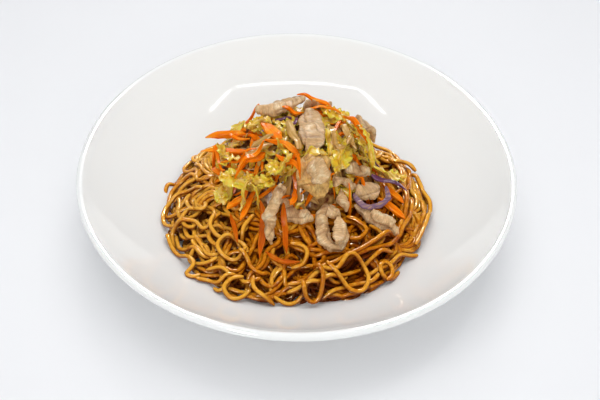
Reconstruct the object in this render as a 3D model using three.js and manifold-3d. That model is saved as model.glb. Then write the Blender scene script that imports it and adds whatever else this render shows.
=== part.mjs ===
// Yakisoba on its plate: a coupe plate of white glazed stoneware, a heap of wavy fried noodles,
// and a mound of stir-fried toppings on it: pork slices, carrot sticks, cabbage, onion and red
// cabbage. Millimetres, +Z up. The origin is the middle of the plate's foot, on the table, and
// -Y is the side that faces the guest.

import * as THREE from 'three';
import { mergeVertices } from 'three/addons/utils/BufferGeometryUtils.js';
import Module from 'manifold-3d';

const wasm = await Module();
wasm.setup();

// ---------------------------------------------------------------- driving dimensions

const PLATE = {
  radius: 135, // outer edge of the rim
  floorZ: 11, // top of the flat floor
  floorRadius: 38, // where the floor starts to rise
  sweep: 127, // radius of the arc from the floor to the rim
  wall: 5, // thickness of the wall
  footOuter: 65,
  footInner: 58,
  recess: 2.5, // height of the hollow inside the foot ring
  segments: 48,
  outerSteps: 4,
  innerSteps: 8,
};

const HEAP = {
  halfX: 85, // half width of the noodles' footprint
  halfY: 81, // half depth
  centreY: -9, // the footprint lies a little to the front
  crestZ: 52, // height of the noodles under the toppings
  drop: 31, // fall from the crest to the edge
  fall: 2.2, // power of that fall
  coreShare: 0.93, // the core's outline as a share of the footprint
  coreDepth: 2.6, // how far the core lies below the noodles' outer face
};

const MOUND = {
  halfX: 50, // half width of the toppings' core
  halfY: 42,
  centreY: 5,
  baseZ: 45, // height of the core's edge
  rise: 29, // height of the core above that edge
  power: 2.7, // fullness of its shoulders
};

const NOODLE = {
  side: 2.5, // width of the square strand
  step: 2.5, // length of one straight stretch
  steps: 32, // stretches in a strand
  wave: 15, // length of one wave
  swing: 1.05, // how far a wave turns the strand from its course, in radians
  proud: 0.9, // height of a strand's middle above the core
};

// Strands laid round the heap: how many, how far out as a share of the footprint, and how much
// they stray from going round it.
const NOODLE_ROUNDS = [
  { count: 7, share: 0.96, stray: 0.15 },
  { count: 6, share: 0.84, stray: 0.5 },
  { count: 4, share: 0.72, stray: 0.9 },
];
const GAP = 0.35; // clearance between neighbouring solids
const GRID = { half: 100, cell: 0.5 }; // height fields that the pieces are laid on

// The kinds of topping: thickness, how far a step may bend, divisions along and across,
// height of their ripple, how lumpy the top is, and colour.
const KINDS = {
  pork: { thick: 3.4, bend: 1.3, along: 6, across: 2, ripple: 0.5, lump: 1.3, colour: 0xb09a84 },
  carrot: { thick: 2.6, bend: 0.55, along: 6, across: 1, ripple: 0, lump: 0, colour: 0xe8741a },
  cabbage: { thick: 1.0, bend: 2.2, along: 6, across: 2, ripple: 2.2, lump: 0, colour: 0xc8c24a },
  onion: { thick: 1.4, bend: 1.6, along: 6, across: 1, ripple: 0.3, lump: 0, colour: 0xb9935c },
  red_cabbage: { thick: 1.2, bend: 1.6, along: 6, across: 1, ripple: 0.3, lump: 0, colour: 0x5a3a5c },
};

// The toppings from the lowest to the highest: kind, name, width, the plan points that the
// piece passes over, and how far its first and last ends curl up.
const TOPPINGS = [
  // round the foot of the mound, lying on the noodles
  ['pork', 'front_loop', 7.2, [[25, -36], [18, -36], [15, -43], [17, -54], [23, -61], [28, -54], [27, -45]], 0, 0],
  ['pork', 'right_strip', 9.5, [[36, -29], [45, -35], [54, -38], [62, -38]], 0, 0],
  ['pork', 'front_slice', 9, [[-9, -39], [0, -43], [10, -43]], 0, 0],
  ['carrot', 'front_long_left', 4.6, [[-23, -31], [-19, -40], [-21, -66]], 0, 0],
  ['carrot', 'front_long_right', 4, [[-8, -36], [-7, -52], [-5, -64]], 0, 0],
  ['carrot', 'front_thread', 2.2, [[-17, -62], [-9, -68], [4, -68]], 0, 0],
  ['carrot', 'left_thread', 3, [[-39, -36], [-34, -56]], 0, 0],
  ['carrot', 'right_stick', 5.4, [[49, -19], [67, -28]], 0, 0],
  ['carrot', 'right_stick_behind', 4, [[52, -8], [66, -17]], 0, 0],
  ['cabbage', 'right_rib', 7, [[54, 4], [69, 3]], 0, 1],
  ['cabbage', 'left_blob', 7, [[-47, -16], [-44, -31]], 0, 0],
  ['pork', 'right_knob', 10, [[37, -25], [50, -15]], 0, 0],
  ['pork', 'inner_right', 6, [[26, -26], [29, -37]], 0, 0],
  ['red_cabbage', 'loop', 3.4, [[34, -24], [41, -33], [55, -25], [55, -12]], 0, 0],
  ['red_cabbage', 'long', 3.6, [[45, -8], [67, -13]], 0, 0],
  ['pork', 'front_left_strip', 7, [[-12, -30], [-10, -38], [-15, -48], [-14, -60]], 0, 0],
  // the back of the mound
  ['pork', 'back_low', 12, [[-22, 44], [-4, 49]], 0, 0],
  ['carrot', 'back_low_stick', 4.4, [[8, 46], [26, 42]], 0, 0],
  ['carrot', 'crest_ridge', 5.5, [[2, 25], [27, 26]], 0, 0],
  ['cabbage', 'back_left_leaf', 13, [[-44, 16], [-34, 34]], 0, 0],
  ['carrot', 'back_right_stick', 4.2, [[44, 12], [30, 36]], 0, 0],
  ['pork', 'back_slice', 13, [[4, 32], [20, 37]], 0, 0],
  ['onion', 'back_band', 5, [[-10, 38], [2, 48]], 0, 0],
  ['cabbage', 'back_leaf', 14, [[-22, 30], [-4, 36]], 0, 0],
  // the flanks
  ['carrot', 'left_leaning', 4, [[-53, 0], [-42, -15]], 0, 0],
  ['carrot', 'left_upright', 3.4, [[-41, -8], [-40, -21]], 0, 0],
  ['cabbage', 'left_side_leaf', 9, [[-48, 6], [-33, 2]], 0, 0],
  ['cabbage', 'left_side_low', 8, [[-50, -4], [-36, -8]], 0, 0],
  ['pork', 'right_middle', 7, [[30, -16], [44, -9]], 0, 0],
  ['pork', 'right_lower_slice', 6, [[21, -25], [35, -21]], 0, 0],
  ['cabbage', 'right_strip', 5, [[44, -1], [50, -6], [57, -2]], 0, 0],
  ['carrot', 'front_left_thick', 4.8, [[-31, -26], [-42, -37]], 0, 1],
  ['carrot', 'front_left_second', 3.6, [[-26, -28], [-33, -43]], 0, 0],
  ['cabbage', 'left_band', 10, [[-47, -17], [-31, -25], [-12, -28]], 0, 0],
  ['cabbage', 'left_hanging', 4.4, [[-30, -20], [-27, -33]], 0, 0],
  ['carrot', 'front_curl', 3, [[-2, -29], [-1, -38], [-5, -41]], 0, 0],
  ['pork', 'back_right', 11, [[33, 22], [48, 27]], 0, 2],
  ['cabbage', 'top_right', 8, [[13, 24], [33, 23]], 0, 0],
  // over the crest
  ['carrot', 'left_long', 3.4, [[-60, 0], [-46, -2], [-29, -7]], 2, 0],
  ['carrot', 'upper_left_wedge', 5.4, [[-57, 14], [-45, 9], [-31, 6]], 2.5, 1],
  ['cabbage', 'right_leaf', 15, [[21, 6], [24, -9], [27, -20]], 0, 0],
  ['onion', 'right_brown', 5, [[19, 10], [22, -8]], 0, 0],
  ['onion', 'right_slip', 4.4, [[27, 7], [34, -9]], 0, 0],
  ['cabbage', 'right_curl', 12, [[31, 12], [37, 4], [43, -6]], 0, 0],
  ['carrot', 'right_slope', 4, [[27, 18], [35, 8], [42, -4]], 0, 0],
  ['cabbage', 'yellow_fold', 7, [[6, -17], [18, -19]], 0, 0],
  ['pork', 'centre', 21, [[6, -19], [10, -28], [12, -36]], 0, 0],
  ['cabbage', 'upper_left_frill', 12, [[-31, 4], [-26, 12], [-20, 20]], 0, 1],
  ['carrot', 'centre_patch', 7.5, [[-19, -11], [-33, -21]], 0, 0],
  ['cabbage', 'centre_leaf', 9, [[-20, -18], [-7, -24]], 0, 0],
  ['onion', 'pale_slip', 4.4, [[-15, -5], [-28, -15]], 0, 0],
  ['carrot', 'centre_diagonal', 3.8, [[-13, -17], [-5, -25], [1, -32]], 0, 0],
  ['carrot', 'arch', 3.6, [[-20, -12], [-9, -8], [2, -14]], 0, 0],
  ['carrot', 'crest_chunk', 8.5, [[-23, 9], [-9, -2]], 0, 0],
  ['onion', 'grey_strip', 5.5, [[-6, 14], [-3, 0], [1, -13]], 0, 0],
  ['pork', 'upper_front', 16, [[7, 23], [8, 4], [9, -15]], 0, 0],
  ['pork', 'crest_slice', 10, [[-25, 20], [-11, 26], [4, 30]], 0, 4],
];

const COLOURS = { plate: 0xf2f2f0, noodles: 0xb07428, bed: 0x9a6a2c };

// ---------------------------------------------------------------- helpers

// A repeatable random number from 0 to 1 for each call of the returned function.
function seeded(seed) {
  let state = seed;
  return () => {
    state = (state * 1664525 + 1013904223) % 4294967296;
    return state / 4294967296;
  };
}

const mix = (a, b, t) => a + (b - a) * t;

// Height of the plate's inner face at a distance from its axis.
function plateZ(r) {
  const out = Math.min(Math.max(r - PLATE.floorRadius, 0), 0.9 * PLATE.sweep);
  return PLATE.floorZ + PLATE.sweep - Math.sqrt(PLATE.sweep ** 2 - out ** 2);
}

// Distance from the heap's middle as a share of its uneven footprint.
function heapShare(x, y) {
  const angle = Math.atan2(y - HEAP.centreY, x);
  const lobes = 1 + 0.018 * Math.sin(5 * angle + 0.6) + 0.014 * Math.sin(9 * angle + 2);
  return Math.hypot(x / HEAP.halfX, (y - HEAP.centreY) / HEAP.halfY) / lobes;
}

// The noodles' outer face, and the face of the core that they are fused to.
const heapZ = (x, y) => HEAP.crestZ - HEAP.drop * Math.min(heapShare(x, y), 1.2) ** HEAP.fall;
const heapCoreZ = (x, y) => heapZ(x, y) - HEAP.coreDepth;

const moundShare = (x, y) => Math.hypot(x / MOUND.halfX, (y - MOUND.centreY) / MOUND.halfY);

function moundZ(x, y) {
  const share = moundShare(x, y);
  const swell = 1.2 * Math.sin(x * 0.16 + 1) * Math.cos(y * 0.19);
  return MOUND.baseZ + MOUND.rise * (1 - share ** MOUND.power) + swell * Math.max(1 - share, 0);
}

function geometryOf(points, triangles) {
  const geometry = new THREE.BufferGeometry();
  geometry.setAttribute('position', new THREE.Float32BufferAttribute(points.flat(), 3));
  geometry.setIndex(triangles.flat());
  return geometry;
}

function solidOf(geometry) {
  const bare = geometry.clone();
  bare.deleteAttribute('normal');
  bare.deleteAttribute('uv');
  const merged = mergeVertices(bare, 1e-4);
  return new wasm.Manifold(
    new wasm.Mesh({
      numProp: 3,
      vertProperties: new Float32Array(merged.attributes.position.array),
      triVerts: new Uint32Array(merged.index.array),
    }),
  );
}

function geometryOfSolid(solid) {
  const mesh = solid.getMesh();
  const geometry = new THREE.BufferGeometry();
  geometry.setAttribute('position', new THREE.BufferAttribute(mesh.vertProperties, 3));
  geometry.setIndex(new THREE.BufferAttribute(mesh.triVerts, 1));
  return geometry;
}

// The largest connected piece of a fused solid, without slivers thinner than this.
const SLIVER = 0.1;

function tidied(solid) {
  const pieces = solid.simplify(SLIVER).decompose();
  return pieces.reduce((most, piece) => (piece.volume() > most.volume() ? piece : most));
}

function mesh(name, geometry, colour, roughness) {
  geometry.computeVertexNormals();
  const made = new THREE.Mesh(geometry, new THREE.MeshStandardMaterial({ color: colour, roughness }));
  made.name = name;
  return made;
}

// ---------------------------------------------------------------- height fields

function makeField(heightAt) {
  const count = (2 * GRID.half) / GRID.cell + 1;
  const z = new Float32Array(count * count);
  for (let j = 0; j < count; j++) {
    for (let i = 0; i < count; i++) {
      z[j * count + i] = heightAt(i * GRID.cell - GRID.half, j * GRID.cell - GRID.half);
    }
  }
  return { count, z };
}

const cellOf = (field, x, y) => {
  const i = Math.round((x + GRID.half) / GRID.cell);
  const j = Math.round((y + GRID.half) / GRID.cell);
  return j * field.count + i;
};

// Raises (or, as a ceiling, lowers) the field round a point, one cell wider than the piece.
function stamp(field, x, y, z, pick) {
  const centre = cellOf(field, x, y);
  for (const row of [-field.count, 0, field.count]) {
    for (const column of [-1, 0, 1]) {
      field.z[centre + row + column] = pick(field.z[centre + row + column], z);
    }
  }
}

// The lowest value of a field within a square reach of each cell.
function lowestNear(field, reach) {
  const span = Math.ceil(reach / GRID.cell);
  const slide = (source, stride) => {
    const made = new Float32Array(source);
    for (let k = 0; k < source.length; k++) {
      const place = Math.floor(k / stride) % field.count;
      const [from, to] = [Math.max(-span, -place), Math.min(span, field.count - 1 - place)];
      for (let n = from; n <= to; n++) made[k] = Math.min(made[k], source[k + n * stride]);
    }
    return made;
  };
  return { count: field.count, z: slide(slide(field.z, 1), field.count) };
}

// ---------------------------------------------------------------- plate

function plateProfile() {
  const profile = [[0, PLATE.recess], [PLATE.footInner - 1, PLATE.recess], [PLATE.footInner, 0]];
  profile.push([PLATE.footOuter - 2, 0], [PLATE.footOuter - 0.5, 1.2]);
  const middle = PLATE.sweep + PLATE.wall / 2;
  const arcZ = PLATE.floorZ + PLATE.sweep;
  const start = Math.asin((PLATE.footOuter - PLATE.floorRadius) / (PLATE.sweep + PLATE.wall));
  const end = Math.asin((PLATE.radius - PLATE.wall / 2 - PLATE.floorRadius) / middle);
  const onArc = (radius, angle) => [
    PLATE.floorRadius + radius * Math.sin(angle),
    arcZ - radius * Math.cos(angle),
  ];
  for (let i = 0; i <= PLATE.outerSteps; i++) {
    profile.push(onArc(PLATE.sweep + PLATE.wall, mix(start, end, i / PLATE.outerSteps)));
  }
  const [rimX, rimZ] = onArc(middle, end);
  for (const turn of [0.25, 0.5, 0.75]) {
    const angle = end - Math.PI / 2 + turn * Math.PI;
    const round = PLATE.wall / 2;
    profile.push([rimX + round * Math.cos(angle), rimZ + round * Math.sin(angle)]);
  }
  for (let i = PLATE.innerSteps; i >= 0; i--) {
    profile.push(onArc(PLATE.sweep, (end * i) / PLATE.innerSteps));
  }
  profile.push([0, PLATE.floorZ]);
  return profile.map(([r, z]) => new THREE.Vector2(r, z));
}

function makePlate() {
  const lathe = new THREE.LatheGeometry(plateProfile(), PLATE.segments);
  lathe.rotateX(Math.PI / 2);
  return mesh('plate', geometryOfSolid(solidOf(lathe)), COLOURS.plate, 0.15);
}

// ---------------------------------------------------------------- cores

// A solid between two height functions, over rings that crowd towards its steep edge.
function heapSolid(outline, bottomAt, topAt, rings, sectors) {
  const points = [];
  const triangles = [];
  const layer = (heightAt) => {
    const first = points.length;
    const middle = outline(0, 0);
    points.push([...middle, heightAt(...middle)]);
    for (let ring = 1; ring <= rings; ring++) {
      for (let s = 0; s < sectors; s++) {
        const place = outline((2 * Math.PI * s) / sectors, Math.sin((ring / rings) * (Math.PI / 2)));
        points.push([...place, heightAt(...place)]);
      }
    }
    return first;
  };
  const top = layer(topAt);
  const bottom = layer(bottomAt);
  const at = (first, ring, s) => (ring === 0 ? first : first + 1 + (ring - 1) * sectors + (s % sectors));
  for (let s = 0; s < sectors; s++) {
    for (let ring = 0; ring < rings; ring++) {
      for (const [first, turned] of [[top, false], [bottom, true]]) {
        const quad = [at(first, ring, s), at(first, ring + 1, s), at(first, ring + 1, s + 1)];
        const rest = [at(first, ring, s), at(first, ring + 1, s + 1), at(first, ring, s + 1)];
        triangles.push(turned ? quad.reverse() : quad);
        if (ring > 0) triangles.push(turned ? rest.reverse() : rest);
      }
    }
    const [a, b] = [at(top, rings, s), at(top, rings, s + 1)];
    const [c, d] = [at(bottom, rings, s), at(bottom, rings, s + 1)];
    triangles.push([a, c, d], [a, d, b]);
  }
  return solidOf(geometryOf(points, triangles));
}

// A point at a share of the way from the middle of a footprint to its edge.
function heapOutline(angle, share) {
  const [dx, dy] = [HEAP.halfX * Math.cos(angle), HEAP.halfY * Math.sin(angle)];
  const reach = (share * HEAP.coreShare) / heapShare(dx, dy + HEAP.centreY);
  return [dx * reach, dy * reach + HEAP.centreY];
}

function makeHeapCore() {
  const bottomAt = (x, y) => plateZ(Math.hypot(x, y)) + GAP + 0.25;
  const topAt = (x, y) => Math.max(heapCoreZ(x, y), bottomAt(x, y) + 1.5);
  return heapSolid(heapOutline, bottomAt, topAt, 6, 36);
}

const MOUND_EDGE = 1.06; // the mound's outline, where it meets the noodles

function moundOutline(angle, share) {
  const reach = share * MOUND_EDGE;
  return [reach * MOUND.halfX * Math.cos(angle), reach * MOUND.halfY * Math.sin(angle) + MOUND.centreY];
}

function makeMoundCore() {
  const bottomAt = (x, y) => heapCoreZ(x, y) + GAP + 0.25;
  const topAt = (x, y) => Math.max(moundZ(x, y) - 0.2, bottomAt(x, y) + 0.8);
  return heapSolid(moundOutline, bottomAt, topAt, 5, 28);
}

// ---------------------------------------------------------------- draped toppings

// Height on one cell of a grid of points, which is split along the diagonal from 00 to 11.
function cellHeight(z, i, j, s, t) {
  const [z00, z10, z01, z11] = [z[i][j], z[i + 1][j], z[i][j + 1], z[i + 1][j + 1]];
  return s >= t ? z00 + (z10 - z00) * s + (z11 - z10) * t : z00 + (z11 - z01) * s + (z01 - z00) * t;
}

// Calls visit(x, y, z, i, j, s, t) at close steps all over a grid of points.
function overCells(plan, z, visit) {
  for (let i = 0; i + 1 < plan.length; i++) {
    for (let j = 0; j + 1 < plan[i].length; j++) {
      const [a, b, c, d] = [plan[i][j], plan[i + 1][j], plan[i][j + 1], plan[i + 1][j + 1]];
      const nS = Math.ceil(Math.max(a.distanceTo(b), c.distanceTo(d)) / 0.45);
      const nT = Math.ceil(Math.max(a.distanceTo(c), b.distanceTo(d)) / 0.45);
      for (let p = 0; p <= nS; p++) {
        for (let q = 0; q <= nT; q++) {
          const [s, t] = [p / nS, q / nT];
          const x = mix(mix(a.x, b.x, s), mix(c.x, d.x, s), t);
          const y = mix(mix(a.y, b.y, s), mix(c.y, d.y, s), t);
          visit(x, y, cellHeight(z, i, j, s, t), i, j, s, t);
        }
      }
    }
  }
}

// Lifts the points of a grid until no cell of it dips into the field.
function liftClear(plan, z, field) {
  for (let round = 0; round < 30; round++) {
    let worst = 0;
    overCells(plan, z, (x, y, height, i, j, s, t) => {
      const short = field.z[cellOf(field, x, y)] + GAP - height;
      if (short <= 0) return;
      worst = Math.max(worst, short);
      z[i][j] += short * (1 - s) * (1 - t);
      z[i + 1][j] += short * s * (1 - t);
      z[i][j + 1] += short * (1 - s) * t;
      z[i + 1][j + 1] += short * s * t;
    });
    if (worst < 0.02) return;
  }
}

// Evens out the heights along a piece: no sharp dip between two supports, and no sharper bend
// over a support than the food allows, so that stiff pieces stand out past it.
function stiffen(z, bend) {
  const last = z.length - 1;
  for (let round = 0; round < 12; round++) {
    for (let j = 0; j < z[0].length; j++) {
      for (let i = 1; i < last; i++) {
        z[i][j] = Math.max(z[i][j], (z[i - 1][j] + z[i + 1][j]) / 2 - 0.35 * bend);
      }
      let high = 0;
      for (let i = 1; i <= last; i++) if (z[i][j] > z[high][j]) high = i;
      for (let i = high + 1; i < last; i++) {
        z[i + 1][j] = Math.max(z[i + 1][j], 2 * z[i][j] - z[i - 1][j] - bend);
      }
      for (let i = high - 1; i > 0; i--) {
        z[i - 1][j] = Math.max(z[i - 1][j], 2 * z[i][j] - z[i + 1][j] - bend);
      }
    }
    for (const row of z) {
      const level = row.reduce((sum, value) => sum + value, 0) / row.length;
      for (let j = 0; j < row.length; j++) row[j] = Math.max(row[j], mix(row[j], level, 0.15));
    }
  }
}

// Half the width at a share of the length: full in the middle, uneven, narrower at the ends.
function halfWidth(kind, width, share, random) {
  const end = Math.abs(2 * share - 1);
  const taper = kind.across === 1 ? 1 - 0.55 * end ** 4 : Math.sqrt(1 - 0.86 * end ** 2.6);
  const uneven = kind.across === 1 ? 0.08 : 0.16;
  return (width / 2) * taper * (1 + uneven * (2 * random() - 1));
}

// The plan points of a piece: rows along its path, columns across it.
function planGrid(kind, width, path, random) {
  const curve = new THREE.CatmullRomCurve3(path.map(([x, y]) => new THREE.Vector3(x, y, 0)));
  const rows = [];
  const along = kind.along + 2 * Math.max(path.length - 3, 0);
  for (let i = 0; i <= along; i++) {
    const place = curve.getPointAt(i / along);
    const ahead = curve.getTangentAt(i / along);
    const [left, right] = [0, 1].map(() => halfWidth(kind, width, i / along, random));
    const row = [];
    for (let j = 0; j <= kind.across; j++) {
      const side = mix(left, -right, j / kind.across);
      row.push(new THREE.Vector2(place.x - ahead.y * side, place.y + ahead.x * side));
    }
    rows.push(row);
  }
  return rows;
}

// How far the top lies above the bottom at each point of the grid: lumpy, thinner at the rim.
function thicknessGrid(kind, plan, z, random) {
  const [rows, columns] = [plan.length - 1, plan[0].length - 1];
  return plan.map((row, i) =>
    row.map((point, j) => {
      const next = plan[Math.min(i + 1, rows)][j];
      const back = plan[Math.max(i - 1, 0)][j];
      const climb = (z[Math.min(i + 1, rows)][j] - z[Math.max(i - 1, 0)][j]) / next.distanceTo(back);
      const steep = Math.min(Math.hypot(1, climb), 2);
      const rim = columns > 1 && (i === 0 || i === rows || j === 0 || j === columns);
      const full = kind.thick * steep;
      const tip = columns === 1 && (i === 0 || i === rows) ? 0.75 : 1;
      return rim ? full * 0.6 : full * tip + kind.lump * random();
    }),
  );
}

// A closed solid between a grid of bottom points and the same grid lifted by its thickness.
function sheetGeometry(plan, bottom, top) {
  const columns = plan[0].length;
  const points = [];
  for (const z of [bottom, top]) {
    plan.forEach((row, i) => row.forEach((point, j) => points.push([point.x, point.y, z[i][j]])));
  }
  const upper = plan.length * columns;
  const triangles = [];
  for (let i = 0; i + 1 < plan.length; i++) {
    for (let j = 0; j + 1 < columns; j++) {
      const [a, b] = [i * columns + j, (i + 1) * columns + j];
      const [c, d] = [b + 1, a + 1];
      triangles.push([a, b, c], [a, c, d]);
      triangles.push([a + upper, c + upper, b + upper], [a + upper, d + upper, c + upper]);
    }
  }
  const rim = [];
  for (let i = 0; i + 1 < plan.length; i++) rim.push(i * columns);
  for (let j = 0; j + 1 < columns; j++) rim.push((plan.length - 1) * columns + j);
  for (let i = plan.length - 1; i > 0; i--) rim.push(i * columns + columns - 1);
  for (let j = columns - 1; j > 0; j--) rim.push(j);
  rim.forEach((a, k) => {
    const b = rim[(k + 1) % rim.length];
    triangles.push([a, b + upper, b], [a, a + upper, b + upper]);
  });
  return geometryOf(points, triangles);
}

// Lays one topping on what lies under it, and adds it to what carries the next ones.
function layTopping([kindName, name, width, path, curlStart, curlEnd], fields, random) {
  const kind = KINDS[kindName];
  const plan = planGrid(kind, width, path, random);
  const last = plan.length - 1;
  const bottom = plan.map((row, i) =>
    row.map((point, j) => {
      const ripple = kind.ripple * (1 + Math.sin(i * 2.1 + j * 1.7 + path[0][0])) * 0.5;
      return fields.floor.z[cellOf(fields.floor, point.x, point.y)] + GAP + ripple;
    }),
  );
  liftClear(plan, bottom, fields.floor);
  stiffen(bottom, kind.bend);
  liftClear(plan, bottom, fields.floor);
  bottom.forEach((row, i) => {
    const lift = curlStart * (1 - i / last) ** 3 + curlEnd * (i / last) ** 3;
    row.forEach((_, j) => {
      row[j] += lift;
    });
  });
  const thickness = thicknessGrid(kind, plan, bottom, random);
  const top = bottom.map((row, i) => row.map((z, j) => z + thickness[i][j]));
  overCells(plan, bottom, (x, y, z) => stamp(fields.ceiling, x, y, z, Math.min));
  overCells(plan, top, (x, y, z) => stamp(fields.floor, x, y, z, Math.max));
  return mesh(`${kindName}_${name}`, sheetGeometry(plan, bottom, top), kind.colour, 0.45);
}

// ---------------------------------------------------------------- noodles and small shreds

// A square strip swept along a run of points, turned to stay level across.
function stripSolid(run, wide, thick) {
  const points = [];
  const triangles = [];
  run.forEach((place, i) => {
    const ahead = new THREE.Vector3().subVectors(
      run[Math.min(i + 1, run.length - 1)],
      run[Math.max(i - 1, 0)],
    );
    ahead.normalize();
    const side = new THREE.Vector3(-ahead.y, ahead.x, 0).normalize();
    const up = new THREE.Vector3().crossVectors(ahead, side);
    for (const [s, u] of [[1, 1], [-1, 1], [-1, -1], [1, -1]]) {
      const corner = place.clone().addScaledVector(side, (s * wide) / 2);
      corner.addScaledVector(up, (u * thick) / 2);
      points.push(corner.toArray());
    }
    if (i === 0) return;
    for (let k = 0; k < 4; k++) {
      const [a, b] = [4 * (i - 1) + k, 4 * (i - 1) + ((k + 1) % 4)];
      triangles.push([a, b, b + 4], [a, b + 4, a + 4]);
    }
  });
  const end = 4 * (run.length - 1);
  triangles.push([0, 2, 1], [0, 3, 2], [end, end + 1, end + 2], [end, end + 2, end + 3]);
  return solidOf(geometryOf(points, triangles));
}

// A wavy path that starts on its way round the heap and is drawn back to its own distance out.
function wavyPath(x, y, heading, share, random) {
  const path = [];
  const phase = 2 * Math.PI * random();
  const wave = NOODLE.wave * mix(0.85, 1.2, random());
  let travel = heading;
  for (let i = 0; i < NOODLE.steps; i++) {
    path.push([x, y]);
    const round = Math.atan2(y - HEAP.centreY, x) + Math.PI / 2;
    const off = Math.atan2(Math.sin(round - travel), Math.cos(round - travel));
    travel += 0.12 * off + 2.5 * Math.max(heapShare(x, y) - share, 0);
    const swing = NOODLE.swing * (0.75 + 0.35 * Math.sin(0.37 * i + 2 * phase));
    const turned = travel + swing * Math.sin((2 * Math.PI * i * NOODLE.step) / wave + phase);
    x += NOODLE.step * Math.cos(turned);
    y += NOODLE.step * Math.sin(turned);
  }
  return path;
}

// The longest stretch of a path on which a strip of this width and height has room.
function freeRun(path, heightAt, openCeiling, wide, thick) {
  const ceiling = lowestNear(openCeiling, wide / 2 + 3 * GAP);
  const headroom = thick / 2 + 3 * GAP;
  let best = [];
  let run = [];
  for (const [x, y] of path) {
    const z = heightAt(x, y);
    const room = Math.abs(x) < GRID.half - 3 && Math.abs(y) < GRID.half - 3;
    if (room && z + headroom < ceiling.z[cellOf(ceiling, x, y)]) run.push(new THREE.Vector3(x, y, z));
    else run = [];
    if (run.length > best.length) best = run;
  }
  return best;
}

function noodleZ(x, y) {
  const onPlate = plateZ(Math.hypot(x, y) + NOODLE.side / 2) + 3 * GAP + NOODLE.side / 2;
  return Math.max(heapCoreZ(x, y) + NOODLE.proud, onPlate);
}

function makeNoodleHeap(fields) {
  const random = seeded(7);
  let solid = makeHeapCore();
  for (const { count, share, stray } of NOODLE_ROUNDS) {
    for (let k = 0; k < count; k++) {
      const angle = (2 * Math.PI * (k + 0.4 * random())) / count;
      const [x, y] = heapOutline(angle, share / HEAP.coreShare);
      const heading = angle + Math.PI / 2 + stray * (2 * random() - 1);
      const path = wavyPath(x, y, heading, share, random);
      const open = path.filter((place) => moundShare(...place) > MOUND_EDGE + 0.08);
      const run = freeRun(open, noodleZ, fields.ceiling, NOODLE.side, NOODLE.side);
      if (run.length > 8) solid = solid.add(stripSolid(run, NOODLE.side, NOODLE.side));
    }
  }
  return mesh('noodle_heap', geometryOfSolid(tidied(solid)), COLOURS.noodles, 0.4);
}

// Small shreds fused to the mound between the toppings: tries, points in a shred, and its sizes.
const SHRED = { count: 90, steps: 5, step: 2.6, wide: 2.8, thick: 2.2, proud: 0.5 };

function makeToppingHeap(fields) {
  const random = seeded(19);
  let solid = makeMoundCore();
  for (let k = 0; k < SHRED.count; k++) {
    const angle = k * 2.4;
    const reach = mix(0.2, 0.95, random());
    let [x, y] = moundOutline(angle, reach / MOUND_EDGE);
    const heading = 2 * Math.PI * random();
    const path = [];
    for (let i = 0; i < SHRED.steps; i++) {
      path.push([x, y]);
      x += SHRED.step * Math.cos(heading + 0.15 * i);
      y += SHRED.step * Math.sin(heading + 0.15 * i);
    }
    const inside = path.filter(([px, py]) => moundShare(px, py) < 0.98);
    const lying = (px, py) => moundZ(px, py) + SHRED.proud;
    const run = freeRun(inside, lying, fields.ceiling, SHRED.wide, SHRED.thick);
    if (run.length > 3) solid = solid.add(stripSolid(run, SHRED.wide, SHRED.thick));
  }
  return mesh('topping_heap', geometryOfSolid(tidied(solid)), COLOURS.bed, 0.45);
}

// ---------------------------------------------------------------- assembly

// The highest face at a point before any topping lies there, with room for the facets' error.
function carriedZ(x, y) {
  const share = moundShare(x, y);
  const mound = share < MOUND_EDGE + 0.02 ? moundZ(x, y) + 0.3 + 0.8 * share ** 6 : 0;
  const noodles = heapShare(x, y) < 1.05 ? heapZ(x, y) : 0;
  return Math.max(mound, noodles, plateZ(Math.hypot(x, y)));
}

function makeYakisoba() {
  const food = new THREE.Group();
  const fields = { floor: makeField(carriedZ), ceiling: makeField(() => Infinity) };
  const random = seeded(3);
  for (const row of TOPPINGS) food.add(layTopping(row, fields, random));
  food.add(makeToppingHeap(fields), makeNoodleHeap(fields));
  const yakisoba = new THREE.Group();
  yakisoba.add(makePlate(), food);
  return yakisoba;
}

export default makeYakisoba();
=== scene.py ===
"""Yakisoba on a white coupe plate: fried noodles under a mound of pork, carrot and cabbage."""

import functools
import itertools
import math

import bpy
import numpy as np
from bpy.props import FloatProperty, FloatVectorProperty, IntProperty, PointerProperty
from mathutils import Matrix, Vector
from mathutils.bvhtree import BVHTree


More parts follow.
